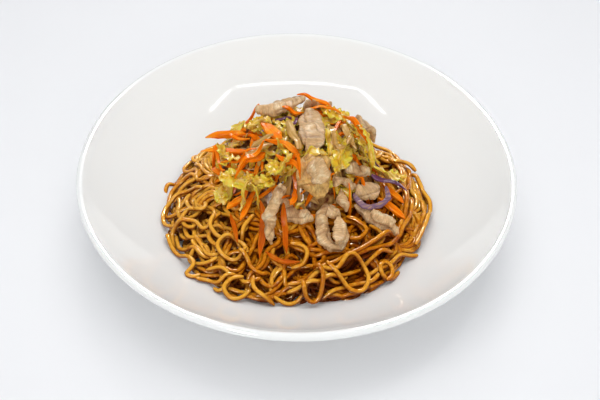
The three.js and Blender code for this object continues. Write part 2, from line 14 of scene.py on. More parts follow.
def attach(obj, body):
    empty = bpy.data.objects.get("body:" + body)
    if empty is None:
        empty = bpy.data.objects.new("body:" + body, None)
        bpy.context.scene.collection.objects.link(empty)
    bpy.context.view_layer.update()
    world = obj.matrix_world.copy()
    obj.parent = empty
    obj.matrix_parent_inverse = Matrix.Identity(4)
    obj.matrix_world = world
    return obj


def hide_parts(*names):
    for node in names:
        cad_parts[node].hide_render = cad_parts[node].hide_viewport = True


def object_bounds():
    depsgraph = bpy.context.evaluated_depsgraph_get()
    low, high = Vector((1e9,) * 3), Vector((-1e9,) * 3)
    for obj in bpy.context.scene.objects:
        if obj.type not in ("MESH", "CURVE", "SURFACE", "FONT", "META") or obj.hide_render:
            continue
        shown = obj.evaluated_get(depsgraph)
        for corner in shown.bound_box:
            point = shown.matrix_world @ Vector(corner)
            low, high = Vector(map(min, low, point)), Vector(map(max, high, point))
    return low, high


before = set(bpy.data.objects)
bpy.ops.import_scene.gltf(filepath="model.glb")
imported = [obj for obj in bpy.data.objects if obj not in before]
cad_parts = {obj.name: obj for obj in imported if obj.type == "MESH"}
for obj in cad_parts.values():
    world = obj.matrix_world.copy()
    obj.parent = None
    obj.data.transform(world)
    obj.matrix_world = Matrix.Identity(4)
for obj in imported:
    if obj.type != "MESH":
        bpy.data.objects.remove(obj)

bl_info = {
    "name": "Yakisoba plate",
    "version": (1, 0, 0),
    "blender": (4, 5, 0),
    "location": "3D View > Sidebar > Yakisoba",
    "description": "Dresses a plate of fried noodles with its glaze, strands and toppings",
    "category": "Object",
}

CAD_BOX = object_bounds()
BODY = "root"
MM = 0.001  # metres in a millimetre

# The height grids that everything is laid on, in millimetres.
GRID_HALF = 100.0
GRID_CELL = 0.6
GRID_SIZE = int(2 * GRID_HALF / GRID_CELL) + 1
GRID_MARGIN = 8
FAR = 400.0  # farther up or down than anything on the plate
GAP = 0.2  # between a piece and what lies over it

HEAP_CENTRE = np.array([0.0, -9.0])
MOUND_CENTRE = np.array([0.0, 5.0])
NOODLE_HEAP = "noodle_heap"
TOPPING_HEAP = "topping_heap"
KINDS = ("pork", "carrot", "cabbage", "onion", "red_cabbage")
PIECES = {kind: [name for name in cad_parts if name.startswith(kind)] for kind in KINDS}
TOPPINGS = sum(PIECES.values(), [])


def linear(code):
    """An sRGB hex colour as linear red, green and blue."""
    levels = [int(code[i:i + 2], 16) / 255 for i in (0, 2, 4)]
    return [v / 12.92 if v <= 0.04045 else ((v + 0.055) / 1.055) ** 2.4 for v in levels]


def colour(name, code, description):
    """A colour setting whose default is an sRGB hex code."""
    return FloatVectorProperty(
        name=name, description=description, subtype="COLOR", size=3, min=0, max=1, default=linear(code))


def size(name, millimetres, description):
    """A length setting whose default is given in millimetres."""
    return FloatProperty(
        name=name, description=description, unit="LENGTH", subtype="DISTANCE", precision=4,
        default=millimetres * MM)


# ---------------------------------------------------------------- settings


class PlateSettings(bpy.types.PropertyGroup):
    """Sizes and glaze of the coupe plate."""

    rim: size("Rim radius", CAD_BOX[1].x / MM, "From the axis to the outer edge of the rim")
    well: size("Well radius", 38, "Flat middle of the plate")
    height: size("Well height", 11, "From the table up to the flat middle")
    sweep: size("Sweep radius", 127, "Of the arc from the flat middle up to the rim")
    wall: size("Wall", 5, "Thickness of the plate")
    foot_outer: size("Foot radius", 65, "Outside of the ring that the plate stands on")
    foot_inner: size("Foot inner radius", 58, "Inside of the ring that the plate stands on")
    recess: size("Foot recess", 2.5, "From the table up to the underside within the ring")
    steps: IntProperty(name="Steps", description="Faces round the plate", default=160, min=24)
    glaze: colour("Glaze", "FBFCF9", "Clear glaze over white clay")
    clay: colour("Clay", "E4DCCB", "Bare clay where the ring stands on the table")


class NoodleSettings(bpy.types.PropertyGroup):
    """Sizes and colours of the noodles."""

    thickness: size("Thickness", 2.7, "Across one noodle")
    length: size("Length", 118, "Of the stretch of a noodle that is laid")
    step: size("Step", 1.3, "Between two rings of a noodle")
    depth: size("Depth", 7.5, "From the top of the heap down to its dark bed")
    wave: size("Wave", 19, "From one crest of a noodle's waves to the next")
    lower: IntProperty(name="Lower noodles", description="Laid to fill the heap", default=110, min=1)
    middle: IntProperty(name="Middle noodles", description="Laid over the lower ones", default=80, min=1)
    upper: IntProperty(name="Upper noodles", description="Laid over the others", default=74, min=1)
    seed: IntProperty(name="Seed", description="Of the noodles' paths", default=7)
    golden: colour("Golden", "D6820E", "A noodle with little sauce")
    pale: colour("Pale", "EEAC38", "The palest streaks of a noodle")
    brown: colour("Brown", "9E4802", "A noodle soaked with sauce")
    # Painted shade down the sides of a noodle.
    side_shade: colour("Film", "823200", "Sauce that clings to the sides of a noodle")
    # Also painted shade: the deepest noodles and the dark beds under the heaps take this colour.
    sauce: colour("Sauce", "5C1A00", "Between the noodles, where the sauce gathers")


class ToppingSettings(bpy.types.PropertyGroup):
    """Sizes and colours of what lies on the noodles."""

    skin: size("Skin", 0.5, "Side of the small faces that a topping is shaped with")
    bed_depth: size("Bed depth", 4, "From the top of the small toppings down to their bed")
    seed: IntProperty(name="Seed", description="Of the small toppings' places", default=5)
    pork: colour("Pork", "E6BE8A", "Lean meat")
    pork_fat: colour("Pork fat", "F6E0B4", "Fat and pale fibres")
    pork_brown: colour("Seared pork", "9E6E3C", "Where the pork was seared or took up sauce")
    # Painted shade in the creases of the pork.
    pork_crease_shade: colour("Creases", "74441A", "Sauce in the creases of the pork")
    carrot: colour("Carrot", "FC7C08", "Fried carrot")
    carrot_core: colour("Carrot core", "FFA024", "Paler streaks along a carrot")
    leaf: colour("Cabbage leaf", "E6AC1C", "Yellow of a cabbage leaf")
    leaf_green: colour("Green leaf", "E4D040", "Where a leaf stayed yellow-green")
    leaf_pale: colour("Cabbage rib", "F6DA80", "Ribs and pale parts of a cabbage leaf")
    # Also painted shade in the hollows of a leaf, as well as sauce stains.
    leaf_sauce_and_shade: colour("Sauced leaf", "8A4A08", "Where a leaf took up sauce")
    onion: colour("Onion", "CC9E56", "Fried onion")
    onion_pale: colour("Pale onion", "ECCC92", "Where the onion took up little sauce")
    purple: colour("Red cabbage", "6B3E5C", "Skin of red cabbage")
    purple_pale: colour("Red cabbage flesh", "947086", "Cut edge of red cabbage")


class StageSettings(bpy.types.PropertyGroup):
    """Camera, floor and lights."""

    lens: FloatProperty(name="Lens", description="Focal length, in millimetres", default=68.05)
    floor: colour("Table", "F1F1F2", "Matt white table top")
    sky: FloatProperty(name="Sky", description="Strength of the light from all round", default=0.66)
    window: FloatProperty(name="Window", description="Power of the large soft light, in watts", default=3.0)
    fill: FloatProperty(name="Fill", description="Power of the light from the front, in watts", default=3.7)
    spark: FloatProperty(name="Sparks", description="Power of each small light, in watts", default=18.0)
    strip: FloatProperty(
        name="Strips", description="Power of the thin lights, in watts a metre", default=0.7)


# ---------------------------------------------------------------- objects and meshes


def only(piece):
    """Selects one object alone and makes it active."""
    bpy.ops.object.select_all(action="DESELECT")
    piece.select_set(True)
    bpy.context.view_layer.objects.active = piece


def mesh_object(name, vertices, faces):
    """A new object from vertices in millimetres."""
    mesh = bpy.data.meshes.new(name)
    mesh.from_pydata((np.asarray(vertices) * MM).tolist(), [], faces)
    mesh.update()
    piece = bpy.data.objects.new(name, mesh)
    bpy.context.scene.collection.objects.link(piece)
    only(piece)
    return piece


def hand_over(piece, material, slot, *nodes):
    """Gives a finished piece its material and its place in the frame."""
    piece.data.materials.clear()
    piece.data.materials.append(material)
    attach(piece, BODY)
    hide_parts(*nodes)


def note(piece, name, values):
    """Stores one number, or one vector, for each vertex of a piece, for its material to read."""
    values = np.asarray(values, dtype=np.float32)
    kind = "FLOAT" if values.ndim == 1 else "FLOAT_VECTOR"
    attribute = piece.data.attributes.new(name, kind, "POINT")
    attribute.data.foreach_set("value" if values.ndim == 1 else "vector", values.ravel())


def coordinates(piece):
    """The vertices of a piece, in millimetres."""
    places = np.empty(len(piece.data.vertices) * 3, dtype=np.float32)
    piece.data.vertices.foreach_get("co", places)
    return places.reshape(-1, 3) / MM


def quads(*corners):
    """Faces from rows of vertex numbers, one row for each corner."""
    return np.stack(corners, axis=1).tolist()


def swept(sections, start=0):
    """Vertices and faces of a closed bar through rings of points, an array of rings by points by 3."""
    rings, points = sections.shape[:2]
    ring = start + np.arange(points)
    after = np.roll(ring, -1)
    faces = []
    for low in range(0, (rings - 1) * points, points):
        high = low + points
        faces += quads(low + ring, low + after, high + after, high + ring)
    faces.append(ring[::-1].tolist())
    faces.append(((rings - 1) * points + ring).tolist())
    return sections.reshape(-1, 3), faces


def bar_sections(points, outlines):
    """Rings of a bar: outlines of (side, up) offsets set square to the path through the points."""
    along = np.gradient(points, axis=0)
    along /= np.linalg.norm(along, axis=1, keepdims=True)
    side = np.stack([-along[:, 1], along[:, 0], np.zeros(len(along))], axis=1)
    side /= np.maximum(np.linalg.norm(side, axis=1, keepdims=True), 1e-6)
    up = np.cross(along, side)
    return points[:, None] + outlines[..., :1] * side[:, None] + outlines[..., 1:] * up[:, None]


def join_bars(name, bars):
    """One object from many rings of sections."""
    vertices, faces, start = [], [], 0
    for sections in bars:
        places, sides = swept(sections, start)
        vertices.append(places)
        faces += sides
        start += len(places)
    return mesh_object(name, np.concatenate(vertices), faces)


# ---------------------------------------------------------------- heights


def cells(places):
    """Grid indices of the cells under places in plan."""
    index = np.rint((np.asarray(places)[..., :2] + GRID_HALF) / GRID_CELL).astype(int)
    index = np.clip(index, GRID_MARGIN, GRID_SIZE - 1 - GRID_MARGIN)
    return index[..., 0], index[..., 1]


def cell_places():
    """Plan places of all cells, as two grids of x and y."""
    axis = np.arange(GRID_SIZE) * GRID_CELL - GRID_HALF
    return np.meshgrid(axis, axis, indexing="ij")


def scan(names, downward):
    """Heights at which rays straight down, or straight up, first meet the named solids."""
    vertices, faces = [], []
    for name in names:
        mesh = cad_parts[name].data
        start = len(vertices)
        vertices += [vertex.co / MM for vertex in mesh.vertices]
        faces += [[start + i for i in polygon.vertices] for polygon in mesh.polygons]
    tree = BVHTree.FromPolygons(vertices, faces)
    spread = np.array(vertices)
    (first_x, last_x), (first_y, last_y) = cells(np.stack([spread.min(0), spread.max(0)]))
    way = Vector((0, 0, -1 if downward else 1))
    heights = np.full((GRID_SIZE, GRID_SIZE), np.nan)
    for i in range(first_x, last_x + 1):
        for j in range(first_y, last_y + 1):
            place = (i * GRID_CELL - GRID_HALF, j * GRID_CELL - GRID_HALF, -way.z * FAR)
            hit = tree.ray_cast(Vector(place), way)[0]
            if hit is not None:
                heights[i, j] = hit.z
    return heights


def blurred(heights, rounds):
    """Heights evened out over their neighbours; cells without a height stay without."""
    known = ~np.isnan(heights)
    total, weight = np.where(known, heights, 0.0), known.astype(float)
    for _ in range(rounds):
        for axis in (0, 1):
            total = (np.roll(total, 1, axis) + total + np.roll(total, -1, axis)) / 3
            weight = (np.roll(weight, 1, axis) + weight + np.roll(weight, -1, axis)) / 3
    return np.where(known, total / np.maximum(weight, 1e-9), np.nan)


def grown(mask, millimetres):
    """A mask widened, or with a negative distance narrowed, by about that distance."""
    rounds = int(abs(millimetres) / GRID_CELL)
    mask = mask if millimetres > 0 else ~mask
    for _ in range(rounds):
        wide = mask.copy()
        for axis in (0, 1):
            wide |= np.roll(mask, 1, axis) | np.roll(mask, -1, axis)
        mask = wide
    return mask if millimetres > 0 else ~mask


def plate_height(radius, plate):
    """Height of the plate's inner face at a distance from its axis, in millimetres."""
    sweep = plate.sweep / MM
    out = np.clip(radius - plate.well / MM, 0, 0.9 * sweep)
    return plate.height / MM + sweep - np.sqrt(sweep ** 2 - out ** 2)


class Outline:
    """The uneven outline of a heap in plan, as a radius for each direction from its middle."""

    def __init__(self, heights, centre):
        """Measures the outline of the cells that have a height."""
        self.centre = centre
        self.angles = np.linspace(-math.pi, math.pi, 181)
        reach = np.arange(0, GRID_HALF, GRID_CELL)
        way = np.stack([np.cos(self.angles), np.sin(self.angles)], axis=1)
        held = ~np.isnan(heights[cells(centre + reach[None, :, None] * way[:, None])])
        radius = np.array([reach[row].max() for row in held])
        self.radius = (np.roll(radius, 1) + radius + np.roll(radius, -1)) / 3

    def share(self, places):
        """Distance from the middle as a share of the outline's radius in that direction."""
        out = np.asarray(places)[..., :2] - self.centre
        edge = np.interp(np.arctan2(out[..., 1], out[..., 0]), self.angles, self.radius)
        return np.hypot(out[..., 0], out[..., 1]) / edge

    def place(self, angle, share):
        """The place in a direction, at a share of the outline's radius."""
        edge = np.interp(angle, self.angles, self.radius) * share
        return self.centre + np.stack([np.cos(angle) * edge, np.sin(angle) * edge], axis=-1)


class Pile:
    """What lies on the plate so far, and what hangs over it, in millimetres."""

    def __init__(self, top, ceiling):
        """Starts from two grids of heights."""
        self.top = top
        self.ceiling = np.where(np.isnan(ceiling), FAR, ceiling)
        self.rounds = {}

    def disc(self, radius):
        """Offsets of the cells under a round of that radius, and how far its edge rises there."""
        if radius not in self.rounds:
            reach = int(math.ceil(radius / GRID_CELL))
            axis = np.arange(-reach, reach + 1)
            x, y = np.meshgrid(axis, axis, indexing="ij")
            flat = (x ** 2 + y ** 2) * GRID_CELL ** 2
            near = flat < radius ** 2
            self.rounds[radius] = x[near], y[near], np.sqrt(radius ** 2 - flat[near])
        return self.rounds[radius]

    def around(self, places, radius):
        """Cells under a bar of that radius at each place."""
        x, y, rise = self.disc(radius)
        i, j = cells(places)
        return (i[:, None] + x, j[:, None] + y), rise

    def rest(self, places, radius):
        """Lowest heights at which a bar's middle clears what lies below."""
        near, rise = self.around(places, radius)
        return (self.top[near] + rise).max(1)

    def room(self, places, radius):
        """Highest heights at which a bar's middle clears what hangs above."""
        near, rise = self.around(places, radius)
        return (self.ceiling[near] - rise).min(1) - GAP

    def press(self, points, radius):
        """Adds a bar to the pile."""
        points = np.concatenate([points, (points[1:] + points[:-1]) / 2])
        near, rise = self.around(points, radius)
        np.maximum.at(self.top, near, points[:, 2:] + rise)

    def lowest(self, draw, number, open_cells, target):
        """Of a number of cells drawn, the plan place of the one that lies lowest under the target."""
        tries = open_cells[draw.integers(len(open_cells), size=number)]
        near = tuple(tries.T)
        return tries[np.argmax(target[near] - self.top[near])] * GRID_CELL - GRID_HALF


DIVE = 2.6  # of a bar under the one that lies on top, in its own radii


def draped(pile, places, radius, pulls, roof=None, turns=8):
    """Points of a limp bar laid along places in plan, over what lies there and over itself.

    It is pulled taut over gaps in a number of rounds. Where it would stand above the roof it
    dives under the bar that lies on top there."""
    low = np.empty(len(places))
    dives = np.zeros(len(places), bool)
    for start in range(0, len(places), turns):
        if start >= 2 * turns:
            laid = slice(start - 2 * turns, start - turns)
            pile.press(np.column_stack([places[laid], low[laid]]), radius)
        part = slice(start, start + turns)
        low[part] = pile.rest(places[part], radius)
        if roof is not None:
            dives[part] = low[part] + radius > roof[part]
            low[part] -= np.where(dives[part], DIVE * radius, 0)
    height = low.copy()
    for _ in range(pulls):
        middle = (height[:-2] + height[2:]) / 2
        height[1:-1] = np.where(dives[1:-1], low[1:-1], np.maximum(low[1:-1], middle))
    height = np.minimum(height, np.maximum(pile.room(places, radius), radius))
    for _ in range(3):
        height[1:-1] = (height[:-2] + 2 * height[1:-1] + height[2:]) / 4
    return np.column_stack([places, height]), dives


# ---------------------------------------------------------------- materials


def add_node(tree, kind, values=(), stops=(), **settings):
    """Adds a shader node; values are for the sockets in use, in order, or by name.

    A value may be the node or the socket that feeds a socket. In order, a map range takes its value
    and the ranges from and to, a mix its share and two colours, a noise its place, scale, detail
    and roughness."""
    made = tree.nodes.new(f"ShaderNode{kind}")
    for key, value in settings.items():
        setattr(made, key, value)
    for number, (place, tint) in enumerate(stops):
        points = made.color_ramp.elements
        point = points.new(place) if number > 1 else points[number]
        point.position, point.color = place, (*tint, 1)
    if not isinstance(values, dict):
        used = [number for number, socket in enumerate(made.inputs) if socket.enabled]
        values = dict(zip(used, values))
    for key, value in values.items():
        socket = made.inputs[key]
        if isinstance(value, bpy.types.Node):
            value = next(output for output in value.outputs if output.enabled)
        if isinstance(value, bpy.types.NodeSocket):
            tree.links.new(value, socket)
        elif socket.type == "RGBA" and len(value) == 3:
            socket.default_value = (*value, 1)
        else:
            socket.default_value = value
    return made


def dimmed(tint, level, cast=(1, 1, 1)):
    """A colour at a level of brightness, with a cast that multiplies its red, green and blue."""
    return [level * part * share for part, share in zip(tint, cast)]


def blank(name):
    """A new material without nodes, and what adds a node to it."""
    material = bpy.data.materials.new(name)
    material.use_nodes = True
    material.node_tree.nodes.clear()
    return material, functools.partial(add_node, material.node_tree)


def glazed_stoneware(plate):
    """White stoneware, dipped in clear glaze and fired: hard, smooth, with sharp reflections."""
    material, add = blank("glazed_white_stoneware")
    place = add("TexCoord").outputs["Object"]
    height = add("SeparateXYZ", (place,)).outputs["Z"]
    glazed = add("MapRange", (height, 0.2 * MM, 0.8 * MM))
    tint = add("Mix", (glazed, plate.clay, plate.glaze), data_type="RGBA")
    gloss = add("MapRange", (glazed, 0.0, 1.0, 0.6, 0.06))
    # The glaze flows out in soft swells some 30 mm wide.
    swell = add("TexNoise", (place, 1 / (30 * MM), 1.0))
    bump = add("Bump", {"Height": swell, "Strength": 0.05, "Distance": 1 * MM})
    add("OutputMaterial", {"Surface": add("BsdfPrincipled", {
        "Base Color": tint, "Roughness": gloss, "IOR": 1.5, "Normal": bump})})
    return material


# Middle of the heap's darker, browner front and right, in millimetres: painted shade from the toppings, and
# more sauce.
SHADE_AND_SAUCE_CENTRE = (30, -40, 30)


def fried_noodle(look):
    """Steamed wheat noodle fried in sauce, oily all over: golden, with painted shade making it brown down
    its sides, deep in the heap and under the toppings.
    """
    material, add = blank("fried_wheat_noodle")
    place = add("TexCoord").outputs["Object"]
    tone = add("Attribute", attribute_name="tone").outputs["Fac"]
    depth = add("Attribute", attribute_name="depth").outputs["Fac"]
    # Painted shade, and more sauce: the front and right of the heap, under the toppings, are darker and
    # browner than the rest.
    far = add("VectorMath", (place, [part * MM for part in SHADE_AND_SAUCE_CENTRE]), operation="DISTANCE")
    shaded_and_sauced = add("MapRange", (far, 22 * MM, 90 * MM, -0.06, -0.4))
    blotch = add("TexNoise", (place, 1 / (8 * MM), 3.0, 0.6))
    streak = add("TexNoise", (place, 1 / (1.5 * MM), 2.0))
    first = add("Math", (tone, shaded_and_sauced), operation="ADD")
    second = add("Math", (blotch, 0.95, first), operation="MULTIPLY_ADD")
    third = add("Math", (streak, 0.5, second), operation="MULTIPLY_ADD")
    tint = add("ValToRGB", {"Fac": third}, stops=[
        (0.4, look.pale), (0.64, look.golden), (0.96, look.brown)])
    # Painted shade: a noodle is darker down its sides than on its top, where the light falls.
    normal = add("NewGeometry").outputs["Normal"]
    upward = add("SeparateXYZ", (normal,)).outputs["Z"]
    side_shade = add("MapRange", (upward, 0.85, 0.05, 0.0, 0.88))
    side_shaded = add("Mix", (side_shade, tint, look.side_shade), data_type="RGBA")
    # Painted shade: the deeper a noodle lies under the others, the darker it is, down to the sauce colour.
    dark = add("MapRange", (depth, 1.5, 7.0, 0.0, 0.88))
    shade = add("Mix", (dark, side_shaded, look.sauce), data_type="RGBA")
    grain = add("TexNoise", (place, 1 / (0.8 * MM), 2.0, 0.5))
    bump = add("Bump", {"Height": grain, "Strength": 0.45, "Distance": 0.2 * MM})
    gloss = add("MapRange", (blotch, 0.35, 0.65, 0.1, 0.24))
    add("OutputMaterial", {"Surface": add("BsdfPrincipled", {
        "Base Color": shade, "Roughness": gloss, "IOR": 1.47,
        "Subsurface Weight": 0.12, "Subsurface Radius": (1.0, 0.45, 0.12), "Subsurface Scale": 1 * MM,
        "Specular IOR Level": 0.3, "Specular Tint": (1.0, 0.84, 0.6), "Normal": bump})})
    return material


def sauce_and_shade_bed(look, light):
    """Dark bed under the food, seen in the gaps: yakisoba sauce, and painted shade for the depths of the
    heap; dark brown and wet, with lighter crumbs in it.
    """
    material, add = blank("brown_sauce_and_painted_shade")
    place = add("TexCoord").outputs["Object"]
    clumps = add("TexNoise", (place, 1 / (3 * MM), 3.0))
    tint = add("ValToRGB", (clumps,), stops=[(0.35, look.sauce), (0.7, light)])
    bump = add("Bump", {"Height": clumps, "Strength": 0.6, "Distance": 1 * MM})
    add("OutputMaterial", {"Surface": add("BsdfPrincipled", {
        "Base Color": tint, "Roughness": 0.3, "Specular IOR Level": 0.2, "Normal": bump})})
    return material


def fried_pork(look, cast=(1, 1, 1)):
    """Thin slices of pork, fried: tan-grey meat in fine fibres across the slice, seared in patches."""
    material, add = blank("fried_pork")
    place = add("TexCoord").outputs["Object"]
    grain = add("Attribute", attribute_name="grain").outputs["Vector"]
    # Fibres run across a slice, about 0.7 mm apart.
    stretch = add("Mapping", {"Vector": grain, "Scale": (1.4, 0.22, 0.5)})
    fibre = add("TexNoise", (stretch, 1.0, 4.0, 0.65))
    patch = add("TexNoise", {
        "Vector": place, "Scale": 1 / (7 * MM), "Detail": 3.0, "Roughness": 0.55, "Distortion": 0.6})
    sear = add("TexNoise", (place, 1 / (4.2 * MM), 5.0, 0.7))
    meat = add("ValToRGB", {"Fac": patch}, stops=[
        (0.3, dimmed(look.pork_fat, 1, cast)), (0.5, dimmed(look.pork, 1, cast)),
        (0.72, dimmed(look.pork, 0.82, cast))])
    lines = add("MapRange", (fibre, 0.42, 0.6, 0.4, 0.0))
    marked = add("Mix", (lines, meat, look.pork_brown), data_type="RGBA")
    browned = add("MapRange", (sear, 0.54, 0.74, 0.0, 0.6))
    seared = add("Mix", (browned, marked, look.pork_brown), data_type="RGBA")
    # Painted shade: darker in the creases and splits, lighter on the folds and ridges.
    tone = add("Attribute", attribute_name="tone").outputs["Fac"]
    crease_shade = add("Math", (tone, 0.75), operation="MULTIPLY")
    shade = add("Mix", (crease_shade, seared, look.pork_crease_shade), data_type="RGBA")
    bump = add("Bump", {"Height": fibre, "Strength": 0.7, "Distance": 0.5 * MM})
    add("OutputMaterial", {"Surface": add("BsdfPrincipled", {
        "Base Color": shade, "Roughness": 0.4, "IOR": 1.42, "Specular IOR Level": 0.2,
        "Subsurface Weight": 0.15, "Subsurface Radius": (1.0, 0.5, 0.3), "Subsurface Scale": 1.2 * MM,
        "Normal": bump})})
    return material


def fried_carrot(look, cast=(1, 1, 1)):
    """Carrot cut in matchsticks and fried soft: bright orange, wet, with pale streaks along it."""
    material, add = blank("fried_carrot")
    place = add("TexCoord").outputs["Object"]
    grain = add("Attribute", attribute_name="grain").outputs["Vector"]
    stretch = add("Mapping", {"Vector": grain, "Scale": (0.08, 0.9, 0.9)})
    streak = add("TexNoise", (stretch, 1.0, 3.0))
    patch = add("TexNoise", (place, 1 / (8 * MM), 2.0))
    blend = add("Math", (patch, 0.6, streak), operation="MULTIPLY_ADD")
    tint = add("ValToRGB", {"Fac": blend}, stops=[
        (0.6, dimmed(look.carrot, 0.8, cast)), (0.8, dimmed(look.carrot, 1, cast)),
        (1.0, dimmed(look.carrot_core, 1, cast))])
    fine = add("TexNoise", (place, 1 / (0.9 * MM), 2.0))
    bump = add("Bump", {"Height": fine, "Strength": 0.3, "Distance": 0.25 * MM})
    add("OutputMaterial", {"Surface": add("BsdfPrincipled", {
        "Base Color": tint, "Roughness": 0.22, "IOR": 1.4, "Specular IOR Level": 0.08,
        "Subsurface Weight": 0.15, "Subsurface Radius": (1.0, 0.35, 0.08), "Subsurface Scale": 1.5 * MM,
        "Normal": bump})})
    return material


def fried_cabbage(look):
    """Cabbage leaf, fried limp: yellow-green and thin, paler at the ribs, stained by the sauce."""
    material, add = blank("fried_cabbage_leaf")
    place = add("TexCoord").outputs["Object"]
    patch = add("TexNoise", {"Vector": place, "Scale": 1 / (8 * MM), "Detail": 3.0, "Distortion": 0.8})
    vein = add("TexVoronoi", (place, 1 / (6 * MM)), feature="DISTANCE_TO_EDGE")
    stain = add("TexNoise", (place, 1 / (5 * MM), 4.0, 0.65))
    edge = add("Attribute", attribute_name="edge").outputs["Fac"]
    spread = add("Math", (edge, 0.35, patch), operation="MULTIPLY_ADD")
    leaf = add("ValToRGB", {"Fac": spread}, stops=[
        (0.4, look.leaf_pale), (0.58, look.leaf), (0.78, look.leaf_green)])
    ribs = add("MapRange", (vein, 0.02, 0.12, 0.3, 0.0))
    ribbed = add("Mix", (ribs, leaf, look.leaf_pale), data_type="RGBA")
    # Painted shade: the hollows of a crumpled leaf are darker than its crests.
    crest = add("Attribute", attribute_name="crest").outputs["Fac"]
    hollow = add("MapRange", (crest, 0.2, 0.62, 0.85, 0.0))
    marked = add("Mix", (hollow, ribbed, look.leaf_sauce_and_shade), data_type="RGBA")
    darkened = add("MapRange", (stain, 0.56, 0.72, 0.0, 0.7))
    shade = add("Mix", (darkened, marked, look.leaf_sauce_and_shade), data_type="RGBA")
    bump = add("Bump", {"Height": vein, "Strength": 0.5, "Distance": 0.5 * MM})
    add("OutputMaterial", {"Surface": add("BsdfPrincipled", {
        "Base Color": shade, "Roughness": 0.28, "IOR": 1.4, "Specular IOR Level": 0.25,
        "Subsurface Weight": 0.3, "Subsurface Radius": (1.0, 0.9, 0.25), "Subsurface Scale": 1.5 * MM,
        "Normal": bump})})
    return material


def streaked(name, scale, relief, stops, finish):
    """Material of a limp slip with fine streaks along it."""
    material, add = blank(name)
    grain = add("Attribute", attribute_name="grain").outputs["Vector"]
    stretch = add("Mapping", {"Vector": grain, "Scale": scale})
    lines = add("TexNoise", (stretch, 1.0, 3.0))
    tint = add("ValToRGB", {"Fac": lines}, stops=stops)
    bump = add("Bump", {"Height": lines, "Strength": relief, "Distance": relief * MM})
    add("OutputMaterial", {"Surface": add("BsdfPrincipled", {
        "Base Color": tint, "IOR": 1.4, "Normal": bump, **finish})})
    return material


def fried_onion(look):
    """Onion fried glassy: thin and brown, with light spread under its skin."""
    stops = (0.3, dimmed(look.onion, 0.7)), (0.52, look.onion), (0.75, look.onion_pale)
    return streaked("fried_onion", (0.07, 0.8, 0.5), 0.3, stops, {
        "Roughness": 0.22, "Specular IOR Level": 0.3, "Subsurface Weight": 0.35,
        "Subsurface Radius": (1.0, 0.7, 0.3), "Subsurface Scale": 1.5 * MM})


def red_cabbage(skin, flesh):
    """Shredded red cabbage: purple skin, paler flesh at the cut edges."""
    stops = (0.3, dimmed(skin, 0.6)), (0.52, skin), (0.8, flesh)
    return streaked("fried_red_cabbage", (0.08, 0.7, 0.7), 0.4, stops, {
        "Roughness": 0.28, "Specular IOR Level": 0.25})


def matt_table(stage):
    """Painted table top: flat white with no grain to see."""
    material, add = blank("matt_white_table")
    add("OutputMaterial", {"Surface": add("BsdfPrincipled", {
        "Base Color": stage.floor, "Roughness": 0.7, "Specular IOR Level": 0.2})})
    return material


# ---------------------------------------------------------------- plate


def plate_profile(plate):
    """The plate's section from its axis under the foot, round the rim and back, in metres."""
    sweep, wall, well = plate.sweep, plate.wall, plate.well
    middle, centre = sweep + wall / 2, plate.height + sweep
    start = math.asin((plate.foot_outer - well) / (sweep + wall))
    end = math.asin((plate.rim - wall / 2 - well) / middle)

    def on_arc(radius, angle):
        return well + radius * math.sin(angle), centre - radius * math.cos(angle)

    bevel = 1 * MM
    profile = [(0, plate.recess), (plate.foot_inner - 2 * bevel, plate.recess)]
    profile += [(plate.foot_inner - bevel, plate.recess - bevel / 2), (plate.foot_inner, 0)]
    profile += [(plate.foot_outer - 2 * bevel, 0), (plate.foot_outer - bevel / 2, 1.2 * bevel)]
    outer, inner, rim = 20, 36, 10
    profile += [on_arc(sweep + wall, start + (end - start) * i / outer) for i in range(outer + 1)]
    rim_x, rim_z = on_arc(middle, end)
    for i in range(1, rim):
        angle = end - math.pi / 2 + math.pi * i / rim
        profile.append((rim_x + wall / 2 * math.cos(angle), rim_z + wall / 2 * math.sin(angle)))
    profile += [on_arc(sweep, end * (1 - i / inner)) for i in range(inner + 1)]
    return profile + [(well / 2, plate.height), (0, plate.height)]


class YAKISOBA_OT_plate(bpy.types.Operator):
    """Spins the coupe plate from its section and glazes it"""

    bl_idname = "yakisoba.plate"
    bl_label = "Plate"

    def execute(self, context):
        plate = context.scene.yakisoba_plate
        profile = [(x / MM, 0, z / MM) for x, z in plate_profile(plate)]
        piece = mesh_object("coupe_plate", profile, [])
        piece.data.edges.add(len(profile) - 1)
        for i, edge in enumerate(piece.data.edges):
            edge.vertices = (i, i + 1)
        bpy.ops.object.mode_set(mode="EDIT")
        bpy.ops.mesh.select_all(action="SELECT")
        bpy.ops.mesh.spin(steps=plate.steps, angle=2 * math.pi, center=(0, 0, 0), axis=(0, 0, 1))
        bpy.ops.mesh.select_all(action="SELECT")
        bpy.ops.mesh.remove_doubles(threshold=0.01 * MM)
        bpy.ops.mesh.normals_make_consistent(inside=False)
        bpy.ops.object.mode_set(mode="OBJECT")
        bpy.ops.object.shade_smooth_by_angle(angle=math.radians(40))
        hand_over(piece, glazed_stoneware(plate), "plate_glaze", "plate")
        return {"FINISHED"}


# ---------------------------------------------------------------- noodles


